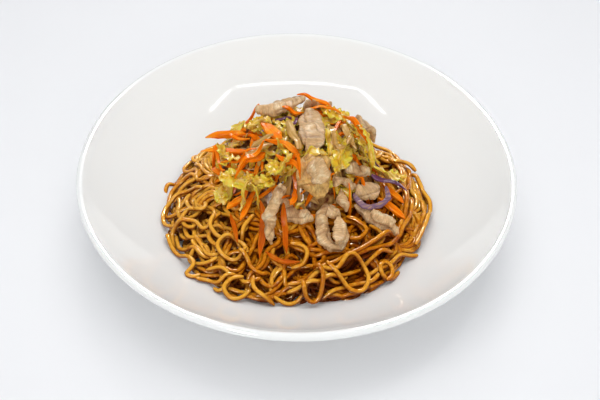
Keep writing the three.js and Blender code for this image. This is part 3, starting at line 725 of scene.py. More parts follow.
def heap_bed(name, outline, heights, sink, floor, reach=0.92, shares=28, turns=96):
    """A closed dome under a heap, a depth below its heights and down to the floor at its edge."""
    angles = np.linspace(-math.pi, math.pi, turns, endpoint=False)
    tops, bottoms = [], []
    for share in np.linspace(1 / shares, 1, shares):
        ring = outline.place(angles, share * reach)
        ground = floor(ring) + GAP
        height = heights[cells(ring)] - sink
        height = np.where(np.isnan(height), ground, height)
        tops.append(np.column_stack([ring, np.maximum(height, ground + GAP * (1 - share))]))
        bottoms.append(np.column_stack([ring, ground]))
    middle = outline.centre
    tip = [*middle, heights[cells(middle)] - sink]
    base = [*middle, float(floor(middle[None])[0]) + GAP]
    vertices = np.concatenate([[tip], *tops, [base], *bottoms[:-1]])
    ring = np.arange(turns)
    after = np.roll(ring, -1)
    foot = 1 + shares * turns
    faces = quads(0 * ring, 1 + ring, 1 + after)
    for low in range(1, 1 + (shares - 1) * turns, turns):
        high = low + turns
        faces += quads(low + ring, high + ring, high + after, low + after)
    faces += quads(foot + 0 * ring, foot + 1 + after, foot + 1 + ring)
    for low in range(foot + 1, foot + 1 + (shares - 1) * turns, turns):
        # The last ring below is the last ring above.
        high = low + turns if low + turns < len(vertices) else foot - turns
        faces += quads(low + ring, low + after, high + after, high + ring)
    piece = mesh_object(name, vertices, faces)
    bpy.ops.object.shade_smooth()
    return piece


def calm_at(place):
    """How evenly noodles lie at a place: 1 at the right, in long arcs, 0 at the left, in a tangle."""
    across = np.clip((place[0] + 40) / 80, 0, 1)
    return across * across * (3 - 2 * across)


def wander(draw, start, look, outline):
    """A noodle's way in plan, grown both ways from its middle.

    It bends to and fro in its own waves and in slower curls, follows the heap round where
    noodles lie calm, and turns back in a tight loop at the outline."""
    calm = calm_at(start) * draw.uniform(0.5, 1)
    out = start - outline.centre
    heading = math.atan2(out[1], out[0]) + math.pi / 2 + (1 - calm) * draw.uniform(-1.6, 1.6)
    step = look.step / MM
    wave = look.wave / MM * draw.uniform(0.75, 1.35) * (1 + 0.5 * calm)
    bow = draw.uniform(0.06, 0.23) * (1 - 0.55 * calm)
    curl, slow = draw.uniform(0.03, 0.13) * (1 - 0.85 * calm), draw.uniform(26, 60)
    lean = draw.uniform(-0.05, 0.05) * (1 - calm)
    phase, drift, turn_a, turn_b = draw.uniform(0, 2 * math.pi, 4)
    reach, tight = draw.uniform(0.9, 1.0), draw.uniform(0.16, 0.25)
    count = int(look.length / look.step / 2)
    halves = []
    for way in (1, -1):
        place, turn, half = start.copy(), heading, []
        for i in range(1, count + 1):
            s = way * i * step
            place = place + way * step * np.array([math.cos(turn), math.sin(turn)])
            half.append(place)
            travel = np.array([math.cos(turn), math.sin(turn)]) * way
            inward = outline.centre - place
            if outline.share(place + 4 * travel) > reach and travel @ inward < 0:
                cross = travel[0] * inward[1] - travel[1] * inward[0]
                turn += (tight if cross > 0 else -tight) * step
                continue
            around = math.atan2(-inward[1], -inward[0]) + math.pi / 2
            bend = bow * math.sin(phase + 2 * math.pi * s / wave + 0.9 * math.sin(s / 15 + drift))
            bend += curl * (math.sin(2 * math.pi * s / slow + turn_a) + 0.5 * math.sin(s / 5.1 + turn_b))
            bend += lean + 0.045 * calm * max(-1, min(1, 1.5 * math.remainder(around - turn, math.pi)))
            turn += way * bend * step
        halves.append(half)
    return np.array(halves[1][::-1] + [start] + halves[0])


def travelled(points):
    """How far along a line each of its points lies."""
    return np.concatenate([[0], np.cumsum(np.linalg.norm(np.diff(points, axis=0), axis=1))])


def through(corners, step):
    """A smooth line through a few corners, as points an even step apart."""
    corners = np.asarray(corners, float)
    ends = np.concatenate([[2 * corners[0] - corners[1]], corners, [2 * corners[-1] - corners[-2]]])
    share = np.linspace(0, 1, 24, endpoint=False)[:, None]
    parts = []
    for a, b, c, d in zip(ends, ends[1:], ends[2:], ends[3:]):
        parts.append(0.5 * (2 * b + (c - a) * share + (2 * a - 5 * b + 4 * c - d) * share ** 2
                            + (3 * b - a - 3 * c + d) * share ** 3))
    line = np.concatenate([*parts, corners[-1:]])
    run = travelled(line)
    even = np.arange(0, run[-1], step)
    return np.stack([np.interp(even, run, line[:, axis]) for axis in range(line.shape[1])], axis=1)


def beside(path, number, draw, spacing, outline):
    """A noodle that keeps to the waves of its neighbour, a number of spacings beside it."""
    calm = calm_at(path[len(path) // 2])
    out = path - outline.centre
    radius = np.linalg.norm(out, axis=1, keepdims=True)
    along = path[-1] - path[0]
    square = np.array([-along[1], along[0]]) / max(np.linalg.norm(along), 1)
    drift = 0.5 * np.sin(np.linspace(0, draw.uniform(3, 7), len(path)) + draw.uniform(0, 6))
    shift = (number * spacing + drift)[:, None]
    return path + (out / np.maximum(radius, 10) if calm > 0.45 else square) * shift


def noodle_outline(radius, points, sides):
    """A noodle's nearly round section for each point, uneven, and thinner at its two ends."""
    angle = np.arange(sides) * 2 * math.pi / sides + math.pi / sides
    ring = radius * np.stack([1.06 * np.cos(angle), 0.96 * np.sin(angle)], axis=1)
    end = np.minimum(np.arange(len(points)), np.arange(len(points))[::-1])
    swell = 1 + 0.09 * lumps(points, 5.0, 3)
    return ring * (swell * np.where(end == 0, 0.6, np.where(end == 1, 0.92, 1)))[:, None, None]


TRIES = 60  # cells tried for the start of a noodle
FEWEST_POINTS, FEWEST_SHOWN = 16, 14  # points that a noodle must have, and must show
BURIED_RUN = 5  # points on both sides of one that are buried too where a noodle is cut
OUTLINE_REACH = 1.03  # share of the heap's outline that a noodle may reach to
BUNDLE_SPACING = 1.06  # between the noodles of a bundle, in their own widths
SINK = 0.1  # of a noodle into what lies below, in its own radii
BED_SHARE, BED_REACH = 0.85, 0.86  # of the dark bed in the noodles' depth and in their outline


def lay_noodles(draw, count, look, pile, target, shown, outline, over):
    """Lays noodles where the pile is lowest under the target; gives each one's points and tone.

    A noodle may stand above the target by a height drawn from the range over."""
    radius = look.thickness / MM / 2
    spacing = look.thickness / MM * BUNDLE_SPACING
    open_cells = np.argwhere(shown)
    laid, failed = [], 0
    while len(laid) < count and failed < count:
        start = pile.lowest(draw, TRIES, open_cells, target)
        path = wander(draw, start, look, outline)
        calm = calm_at(start)
        bundle = 1 + int(draw.uniform() < 0.2 + 0.5 * calm) + int(draw.uniform() < 0.5 * calm)
        tone = draw.uniform(-0.05, 0.25)
        for number in range(bundle):
            way = path if number == 0 else beside(path, number, draw, spacing, outline)
            buried = ~shown[cells(way)]
            keep = (outline.share(way) < OUTLINE_REACH) & ~grown_line(buried, BURIED_RUN)
            way = longest_run(way, keep)
            if len(way) < FEWEST_POINTS:
                failed += 1
                continue
            before = pile.top.copy()
            roof = target[cells(way)] + draw.uniform(*over)
            points, dives = draped(pile, way, radius, 12, roof)
            if (~dives).sum() < FEWEST_SHOWN:
                pile.top = before
                failed += 1
                continue
            points[:, 2] -= SINK * radius
            pile.press(points, radius)
            laid.append((points, tone + draw.uniform(-0.08, 0.08)))
    return laid


def grown_line(flags, reach):
    """Flags along a path that hold only where they have held for some points on both sides."""
    held = flags.copy()
    for shift in range(1, reach + 1):
        held[shift:] &= flags[:-shift]
        held[:-shift] &= flags[shift:]
    return held


def longest_run(path, keep):
    """The longest unbroken stretch of a path whose points are kept."""
    edges = np.flatnonzero(np.diff(np.concatenate([[False], keep, [False]]).astype(int)))
    if not len(edges):
        return path[:0]
    starts, stops = edges[::2], edges[1::2]
    best = np.argmax(stops - starts)
    return path[starts[best]:stops[best]]


def noodle_piece(name, laid, look, pile, sides):
    """One mesh of many noodles, with each one's tone and how deep it lies."""
    radius = look.thickness / MM / 2
    bars, tones, depths = [], [], []
    for points, tone in laid:
        bars.append(bar_sections(points, noodle_outline(radius, points, sides)))
        ring = bars[-1].reshape(-1, 3)
        tones.append(np.full(len(ring), tone))
        depths.append(pile.top[cells(ring)] - ring[:, 2])
    piece = join_bars(name, bars)
    note(piece, "tone", np.concatenate(tones))
    note(piece, "depth", np.concatenate(depths))
    bpy.ops.object.shade_smooth_by_angle(angle=math.radians(60))
    return piece


# Noodles laid last, on top: loops that stand out past the outline and arcs that sweep over the
# heap, each through a few places in plan, in millimetres.
LOOPS = (
    ((-58, -10), (-71, -5), (-81, -12), (-82, -24), (-75, -32), (-64, -32), (-56, -27)),
    ((62, 22), (70, 26), (77, 22)),
    ((-56, -22), (-55, -28), (-58, -30), (-64, -25), (-68, -16), (-65, -12)),
    ((-62, -30), (-66, -28), (-69, -32), (-67, -37), (-62, -39), (-60, -35)),
    ((-32, -53), (-31, -47), (-28, -43), (-25, -39)),
    ((-44, -56), (-48, -53), (-52, -47), (-48, -43), (-42, -44)),
    ((-74, -45), (-75, -38), (-70, -35), (-61, -37), (-55, -42), (-50, -39), (-45, -32)),
    ((-49, -37), (-51, -44), (-44, -51), (-36, -52), (-32, -57)),
    ((-61, -53), (-63, -58), (-58, -62), (-51, -64), (-45, -62)),
    ((-28, -62), (-31, -56), (-37, -52), (-43, -53), (-46, -57), (-42, -62), (-34, -64), (-29, -60)),
    ((-79, -36), (-75, -46), (-69, -53), (-63, -58), (-60, -63), (-64, -68), (-60, -70), (-55, -68)),
    ((-33, -61), (-28, -66), (-25, -71), (-20, -73), (-15, -70)),
    ((-52, -67), (-45, -68), (-39, -72), (-39, -78), (-44, -81), (-48, -77)),
    ((-58, -72), (-51, -72), (-45, -76), (-40, -74), (-33, -74), (-28, -78), (-20, -76)),
    ((-30, -75), (-37, -77), (-41, -82), (-36, -87), (-29, -86), (-25, -81)),
    ((-24, -76), (-24, -82), (-19, -87), (-11, -89)),
    ((-3, -59), (4, -60), (7, -64), (4, -69), (-3, -70)),
    ((30, -38), (36, -40), (42, -45), (38, -50), (31, -51)),
    ((44, -43), (50, -43), (52, -48), (47, -53), (37, -56)),
    ((79, 4), (84, -6), (82, -18), (77, -33), (72, -44)),
    ((74, -47), (64, -51), (57, -59), (47, -67), (40, -71)),
    ((62, -60), (57, -68), (52, -69), (50, -65), (53, -61), (57, -63), (57, -68), (53, -72)),
    ((0, -78), (22, -69), (44, -54), (62, -36), (68, -14), (65, 4)),
    ((-4, -80), (9, -78), (20, -71), (32, -64), (47, -56), (58, -48), (64, -37), (70, -23), (72, -9)),
    ((-12, -86), (-3, -88), (4, -85), (8, -80), (15, -76), (24, -77), (31, -71)),
    ((-4, -84), (12, -81), (26, -74), (38, -66), (51, -57), (58, -53)),
    ((14, -73), (26, -66), (38, -60), (50, -50), (60, -40), (65, -30)),
    ((14, -85), (24, -81), (34, -76), (44, -74), (50, -69)),
    ((12, -76), (24, -72), (31, -65), (39, -66), (43, -73), (40, -80), (33, -81), (27, -77), (18, -70)),
    ((4, -80), (7, -88), (14, -87), (16, -79), (10, -73)),
)


class YAKISOBA_OT_noodles(bpy.types.Operator):
    """Lays the noodles one over another on a dark bed, under the toppings"""

    bl_idname = "yakisoba.noodles"
    bl_label = "Noodles"

    def execute(self, context):
        look, plate = context.scene.yakisoba_noodles, context.scene.yakisoba_plate
        x, y = cell_places()
        ground = plate_height(np.hypot(x, y), plate)
        face = blurred(scan([NOODLE_HEAP], True), 4)
        outline = Outline(face, HEAP_CENTRE)
        over = scan(TOPPINGS + [TOPPING_HEAP], False)
        depth = look.depth / MM
        pile = Pile(np.fmax(face - depth, ground), over)
        covered = grown(~np.isnan(over), 3)
        shown = ~np.isnan(face) & ~grown(covered, -12)
        target = np.where(np.isnan(face), ground + look.thickness / MM, face)
        draw = np.random.default_rng(look.seed)
        # Each layer: how many noodles, how high they may reach, how far one may stand above that,
        # and how many sides a noodle has.
        layers = (
            ("noodles_lower", look.lower, target - 5, (0.4, 1.4), 6),
            ("noodles_middle", look.middle, target - 3, (1.0, 2.4), 7),
            ("noodles_upper", look.upper, target - 1, (4.0, 6.0), 8))
        heaps = [lay_noodles(draw, count, look, pile, level, shown, outline, rise)
                 for _, count, level, rise, _ in layers]
        if any(len(heap) < count // 2 for heap, (_, count, _, _, _) in zip(heaps, layers)):
            raise RuntimeError("too few noodles found a place")
        radius = look.thickness / MM / 2
        for line in LOOPS:
            points, _ = draped(pile, through(line, look.step / MM), radius, 10)
            points[:, 2] -= GAP / 2
            pile.press(points, radius)
            heaps[-1].append((points, draw.uniform(-0.1, 0.1)))
        material = fried_noodle(look)
        for heap, (name, _, _, _, sides) in zip(heaps, layers):
            piece = noodle_piece(name, heap, look, pile, sides)
            hand_over(piece, material, "noodles", NOODLE_HEAP)
        smooth = blurred(face, 12)
        base = heap_bed(
            "noodle_bed", outline, smooth, depth * BED_SHARE,
            lambda places: plate_height(np.hypot(places[:, 0], places[:, 1]), plate), BED_REACH)
        hand_over(base, sauce_and_shade_bed(look, dimmed(look.brown, 0.5)), "noodles", NOODLE_HEAP)
        return {"FINISHED"}


# ---------------------------------------------------------------- toppings

FATTY = (1.16, 1.08, 0.68)  # cast of the fattest slice of pork
FRONT_SHADE_CAST = (0.6, 0.5, 0.5)  # cast of the carrots at the front of the mound, painted darker as shade
SHADE_LINE = -46  # before which carrots are painted darker as shade, in millimetres
STICK_SHARE = 0.86  # of its solid's width that a carrot stick has
STICK_THICKNESS = 2.1  # in millimetres
STICK_ANGLE, SHEET_ANGLE = 32, 70  # up to which sticks and sheets are shaded smooth, in degrees


def samples(node):
    """Even samples of a solid's faces, in millimetres."""
    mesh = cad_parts[node].data
    mesh.calc_loop_triangles()
    corners = np.array([[mesh.vertices[i].co[:] for i in face.vertices] for face in mesh.loop_triangles])
    shares = np.array([(a, b, 9 - a - b) for a in range(10) for b in range(10 - a)]) / 9
    return np.einsum("sk,tkc->tsc", shares, corners).reshape(-1, 3) / MM


def axes(places):
    """The middle of places in plan, and the ways along and across them."""
    middle = places[:, :2].mean(0)
    along = np.linalg.svd(places[:, :2] - middle, full_matrices=False)[2][0]
    return middle, along, np.array([-along[1], along[0]], float)


def spine(node, step):
    """Points along the middle of a long solid, half its width at each, and how it tips sideways."""
    places = samples(node)
    middle, along, square = axes(places)
    run, side = (places[:, :2] - middle) @ along, (places[:, :2] - middle) @ square
    at = np.arange(run.min() + 0.2, run.max() - 0.2, step)
    rows = []
    for spot in at:
        near = np.abs(run - spot) < 1.6
        low, high = side[near].min(), side[near].max()
        tilt, level = np.polyfit(side[near], places[near, 2], 1)
        rows.append(((low + high) / 2, (high - low) / 2, tilt, level + tilt * (low + high) / 2))
    rows = np.array(rows)
    for _ in range(4):
        rows[1:-1] = (rows[:-2] + 2 * rows[1:-1] + rows[2:]) / 4
    plan = middle + at[:, None] * along + rows[:, :1] * square
    return np.column_stack([plan, rows[:, 3]]), rows[:, 1], np.arctan(rows[:, 2])


def rolled(offsets, roll):
    """Sections turned about their path by an angle at each point."""
    cos, sin = np.cos(roll)[:, None], np.sin(roll)[:, None]
    side, up = offsets[..., 0], offsets[..., 1]
    return np.stack([side * cos - up * sin, side * sin + up * cos], axis=2)


def sheet_outlines(left, right, middle, thickness):
    """Closed sections of a thin sheet: how far it reaches to each side, and how its middle waves."""
    across = np.linspace(-1, 1, middle.shape[1])
    side = np.where(across < 0, across * right[:, None], across * left[:, None])
    half = thickness / 2 * (1 - 0.6 * np.abs(across) ** 6)
    top = np.stack([side, middle + half], axis=2)
    bottom = np.stack([side, middle - half], axis=2)[:, ::-1]
    return np.concatenate([top, bottom], axis=1)[:, ::-1]


def stick_outlines(half, thickness, share, seed):
    """Sections of a cut stick: flat faces, sharp edges a little uneven, and wedge-shaped tips."""
    tip = np.clip(np.minimum(share * 5, (1 - share) * 3), 0, 1) ** 0.8
    wide = half * (0.16 + 0.84 * tip)
    thick = thickness / 2 * (0.45 + 0.55 * tip)
    signs = np.array([(1, 0.75), (0.9, 1), (-0.9, 1), (-1, 0.75)])
    signs = np.concatenate([signs, -signs])
    run = np.arange(len(half)) * 1.0
    worn = np.stack([
        1 + 0.07 * lumps(np.column_stack([run, 0 * run + 9 * corner, 0 * run]), 3.0, seed)
        for corner in range(8)], axis=1)
    return np.stack([wide[:, None] * signs[:, 0] * worn, thick[:, None] * signs[:, 1] * worn], axis=2)


def leaf_middle(run, half, columns, frill, seed):
    """How a leaf's middle waves over its length and width: crumpled, and frilled at both edges."""
    across = np.linspace(-1, 1, columns)
    x, a = np.meshgrid(run, across, indexing="ij")
    y = a * half[:, None]
    flat = np.stack([x, y, np.zeros_like(x)], axis=2).reshape(-1, 3)
    crumple = lumps(flat, 5.5, seed).reshape(x.shape)
    fine = lumps(flat, 2.4, seed + 3).reshape(x.shape)
    lag = 2.5 * lumps(np.stack([x.ravel(), np.sign(y).ravel() * 40, flat[:, 2]], axis=1), 6.0, seed + 5)
    wave = np.sin(2 * math.pi * x / 4.6 + lag.reshape(x.shape) + 0.8 * a)
    return 1.1 * crumple + 0.45 * fine + frill * (0.15 + 0.85 * np.abs(a) ** 1.6) * wave


def edge_jitter(run, seed):
    """An uneven factor for the reach of a leaf's edge along its length."""
    line = np.column_stack([run, run * 0, run * 0])
    return 1 + 0.22 * lumps(line, 4.5, seed) + 0.16 * lumps(line, 1.8, seed + 2)


def bars_piece(name, parts, angle):
    """One object of bars, each given by its points, its sections and how they roll.

    For the material it notes the way along, across and up each bar, and how far out and how high
    on its bar each vertex lies."""
    piece = join_bars(name, [bar_sections(way, rolled(offsets, roll)) for way, offsets, roll in parts])
    notes = {"grain": [], "edge": [], "crest": []}
    for number, (points, offsets, _) in enumerate(parts):
        side, up = offsets[..., 0], offsets[..., 1]
        along = np.broadcast_to(travelled(points)[:, None] + 60 * number, side.shape)
        notes["grain"].append(np.stack([along, side, up], axis=2).reshape(-1, 3))
        notes["edge"].append((np.abs(side) / np.abs(side).max()).ravel())
        notes["crest"].append(np.clip(0.5 + up / 3.2, 0, 1).ravel())
    for kind, values in notes.items():
        note(piece, kind, np.concatenate(values))
    bpy.ops.object.shade_smooth_by_angle(angle=math.radians(angle))
    return piece


def seed_of(node):
    """A seed that is a node's own."""
    return sum(ord(letter) for letter in node)


def skinned_copy(node, name, skin, rounds):
    """A merged copy of one solid under an even skin of small faces, smoothed, ready to be shaped."""
    piece = bpy.data.objects.new(name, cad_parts[node].data.copy())
    bpy.context.scene.collection.objects.link(piece)
    only(piece)
    bpy.ops.object.mode_set(mode="EDIT")
    bpy.ops.mesh.select_all(action="SELECT")
    bpy.ops.mesh.remove_doubles(threshold=0.002 * MM)
    bpy.ops.object.mode_set(mode="OBJECT")
    piece.data.remesh_voxel_size = skin
    bpy.ops.object.voxel_remesh()
    modifier = piece.modifiers.new("smooth", "SMOOTH")
    modifier.factor, modifier.iterations = 0.5, rounds
    bpy.ops.object.modifier_apply(modifier=modifier.name)
    return piece


# Large numbers that mix a cell's place and a seed into noise.
MIX_X, MIX_Y, MIX_Z, MIX_SEED = 73856093, 19349663, 83492791, 2654435761
MIX_STEP, MIX_START = 1103515245, 12345


def lumps(places, width, seed):
    """Smooth noise between -1 and 1, in lumps of a width in millimetres, at each place."""
    spots = places / width
    corner = np.floor(spots).astype(np.int64)
    part = spots - corner
    part = part * part * (3 - 2 * part)
    total = np.zeros(len(places))
    for step in itertools.product((0, 1), repeat=3):
        x, y, z = (corner + step).T
        mixed = (x * MIX_X) ^ (y * MIX_Y) ^ (z * MIX_Z) ^ (seed * MIX_SEED)
        mixed = (mixed & 0xFFFFFF) * MIX_STEP + MIX_START
        mixed = ((mixed >> 8) ^ mixed) & 0xFFFF
        weight = np.prod(np.where(step, part, 1 - part), axis=1)
        total += weight * (mixed / 0x7FFF - 1)
    return total


def tossed(places, width, height, seed):
    """Shifts every way, in lumps of a width and up to about a height, in millimetres."""
    return height * np.stack([lumps(places, width, seed + way) for way in range(3)], axis=1)


def grain_of(places):
    """Places turned to run along, across and up through a piece, and the way across it."""
    middle, along, square = axes(places)
    flat = places[:, :2] - middle
    return np.column_stack([flat @ along, flat @ square, places[:, 2]]), np.array([*square, 0])


def shaped(node, name, skin, rounds, rule):
    """A copy of a solid whose skin is smoothed and then moved, in millimetres, by a rule.

    The rule also gives a tone for each vertex."""
    piece = skinned_copy(node, name, skin, rounds)
    places = coordinates(piece)
    grain, across = grain_of(places)
    normals = np.empty(len(places) * 3, dtype=np.float32)
    piece.data.vertices.foreach_get("normal", normals)
    shift, tone = rule(places, normals.reshape(-1, 3), grain, across, seed_of(node))
    piece.data.vertices.foreach_set("co", ((places + shift) * MM).astype(np.float32).ravel())
    piece.data.update()
    note(piece, "grain", grain)
    note(piece, "tone", tone)
    bpy.ops.object.shade_smooth()
    return piece


def pork_relief(places, normals, grain, across, seed):
    """Narrow ends, a ragged outline, folds, fine ridges and creases; the tone is painted shade, darker in
    the creases and splits, lighter on the folds and ridges.
    """
    fold = lumps(grain * (1, 0.5, 0.7), 6.0, seed)
    ridge = lumps(grain * (1, 0.16, 0.4), 1.5, seed + 7)
    crease = np.maximum(1 - 3.5 * np.abs(lumps(grain * (1, 0.3, 0.6), 5.0, seed + 31)), 0)
    split = np.maximum(1 - 5.0 * np.abs(lumps(grain * (0.5, 1, 0.8), 7.0, seed + 21)), 0)
    rise = 0.7 + 0.8 * fold + 0.3 * ridge - 0.6 * crease ** 2 - 0.7 * split ** 2
    ragged = tossed(places, 7.0, 1.0, seed) + tossed(places, 2.6, 0.35, seed + 15)
    ragged[:, 2] *= 0.6
    tone = np.clip(0.5 * crease ** 2 + 0.6 * split ** 2 - 0.25 * fold - 0.2 * ridge, 0, 1)
    share = 2 * (grain[:, 0] - grain[:, 0].min()) / np.ptp(grain[:, 0]) - 1
    pinch = -0.38 * np.abs(share) ** 3 * grain[:, 1]
    return ragged + normals * rise[:, None] + pinch[:, None] * across, tone


def slip_relief(places, normals, grain, across, seed):
    """A limp slip: gentle bends and ribs along it."""
    rib = lumps(grain * (0.12, 1, 1), 1.2, seed)
    return tossed(places, 7, 1.3, seed) + 0.15 * normals * rib[:, None], 0.5 + 0.5 * rib


class YAKISOBA_OT_pork(bpy.types.Operator):
    """Shapes each slice of pork with its ragged edges and fibres"""

    bl_idname = "yakisoba.pork"
    bl_label = "Pork"

    def execute(self, context):
        look = context.scene.yakisoba_toppings
        lean, fatty = fried_pork(look), fried_pork(look, FATTY)
        for node in PIECES["pork"]:
            piece = shaped(node, f"fried_{node}", look.skin, 4, pork_relief)
            hand_over(piece, fatty if node == "pork_centre" else lean, "pork", node)
        return {"FINISHED"}


class YAKISOBA_OT_carrot(bpy.types.Operator):
    """Bends the matchsticks of carrot and blunts their edges a little"""

    bl_idname = "yakisoba.carrot"
    bl_label = "Carrot"

    def execute(self, context):
        look = context.scene.yakisoba_toppings
        # A lit copy, and a darker copy painted as shade for the carrots at the front of the mound.
        fresh, darkened = fried_carrot(look), fried_carrot(look, FRONT_SHADE_CAST)
        for node in PIECES["carrot"]:
            seed = seed_of(node)
            points, half, roll = spine(node, 1.0)
            share = np.linspace(0, 1, len(points))
            twist = 0.35 * lumps(np.column_stack([points[:, :2], 0 * share]), 14, seed)
            offsets = stick_outlines(half * STICK_SHARE, STICK_THICKNESS, share, seed)
            points += tossed(points, 8, 0.7, seed)
            piece = bars_piece(f"fried_{node}", [(points, offsets, roll + twist)], STICK_ANGLE)
            hand_over(piece, darkened if points[:, 1].mean() < SHADE_LINE else fresh, "carrot", node)
        return {"FINISHED"}


def leaf_strips(points, half, roll, node):
    """The ruffled shreds that a leaf was cut into, side by side: points, sections and roll of each."""
    seed = seed_of(node)
    draw = np.random.default_rng(seed)
    count = 3 if half.max() > 4 else 2 if half.max() > 2.8 else 1
    parts = []
    for number in range(count):
        trim = (draw.uniform(0, 0.14, 2) * (count > 1) * len(points)).astype(int)
        part = slice(trim[0], len(points) - trim[1])
        run = 0.7 * np.arange(len(points))[part]
        tip = np.clip(np.minimum(run - run[0], run[-1] - run) / 3, 0.25, 1) ** 0.6
        wide = np.maximum(half[part] * (1.5 / count if count > 1 else 1.1), 1.5) * tip
        middle = leaf_middle(run, wide, 13, draw.uniform(0.9, 1.6), seed + 40 * number)
        left, right = (wide * edge_jitter(run, seed + start + number) for start in (0, 11))
        aside = ((2 * number + 1) / count - 1) * 0.72 * half[part]
        aside = np.stack([aside, np.full(len(run), draw.uniform(0.3, 1.5))], axis=1)[:, None]
        way = points[part] + tossed(points[part], 7, 0.8, seed + number)
        turn = roll[part] + draw.uniform(-0.15, 0.15)
        parts.append((way, sheet_outlines(left, right, middle, 0.6) + aside, turn))
    return parts


class YAKISOBA_OT_cabbage(bpy.types.Operator):
    """Cuts the leaves of cabbage in shreds, crumples them and frills their edges"""

    bl_idname = "yakisoba.cabbage"
    bl_label = "Cabbage"

    def execute(self, context):
        look = context.scene.yakisoba_toppings
        material = fried_cabbage(look)
        for node in PIECES["cabbage"]:
            piece = bars_piece(f"fried_{node}", leaf_strips(*spine(node, 0.7), node), SHEET_ANGLE)
            hand_over(piece, material, "cabbage", node)
        return {"FINISHED"}


class YAKISOBA_OT_onion(bpy.types.Operator):
    """Shapes the glassy slips of onion"""

    bl_idname = "yakisoba.onion"
    bl_label = "Onion"

    def execute(self, context):
        look = context.scene.yakisoba_toppings
        material = fried_onion(look)
        for node in PIECES["onion"]:
            seed = seed_of(node)
            points, half, roll = spine(node, 1.0)
            run = 1.0 * np.arange(len(points))
            middle = leaf_middle(run, half, 9, 0.3, seed) * 0.35
            middle += 0.5 - 0.12 * half[:, None] * np.linspace(-1, 1, 9) ** 2
            jitter = 1 + 0.5 * (edge_jitter(run, seed) - 1)
            offsets = sheet_outlines(half * jitter, half * jitter, middle, 0.8)
            points += tossed(points, 8, 0.8, seed)
            piece = bars_piece(f"fried_{node}", [(points, offsets, roll)], SHEET_ANGLE)
            hand_over(piece, material, "onion", node)
        return {"FINISHED"}


class YAKISOBA_OT_red_cabbage(bpy.types.Operator):
    """Shapes the purple strips of red cabbage"""

    bl_idname = "yakisoba.red_cabbage"
    bl_label = "Red cabbage"

    def execute(self, context):
        look = context.scene.yakisoba_toppings
        purple = red_cabbage(look.purple, look.purple_pale)
        washed = red_cabbage(dimmed(look.purple_pale, 0.8), look.onion)
        for node in PIECES["red_cabbage"]:
            piece = shaped(node, f"fried_{node}", look.skin * 0.8, 2, slip_relief)
            hand_over(piece, washed if node.endswith("loop") else purple, "red_cabbage", node)
        return {"FINISHED"}


# ---------------------------------------------------------------- small toppings

# In laying small toppings, all lengths in millimetres.
SMALL_TRIES = 24  # cells tried for the start of a piece
SMALL_STEP = 1.1  # between the sections of a piece
SMALL_RISE = 1.8  # over the mound's face, up to which the pieces are piled
SINGLE_RISE = 0.6  # of single pieces over the solids of the large toppings
BLOCKED_DEPTH = 0.6  # into what hangs over a piece, from which it counts as blocked
MOST_RISE = 2.0  # of a piece on the whole, over the height that it is piled to
MOST_BLOCKED, MOST_PAST = 0.8, 0.35  # shares of a piece that may be blocked, and past the outline

# Each kind of small topping: how many, then least and most length, width and thickness in
# millimetres, how far it curls in plan, and how high its edges frill.
SMALL = {
    "pork": (16, (7, 12), (4.0, 6.5), (2.4, 3.2), 0.04, 0.2),
    "onion": (56, (12, 26), (2.0, 3.8), (0.7, 1.0), 0.07, 0.3),
    "carrot": (70, (12, 30), (1.5, 2.7), (1.3, 1.9), 0.03, 0),
    "cabbage": (84, (10, 26), (3.0, 6.6), (0.5, 0.7), 0.08, 1.3),
    "red_cabbage": (6, (10, 20), (1.6, 2.4), (0.8, 1.2), 0.08, 0.2),
}

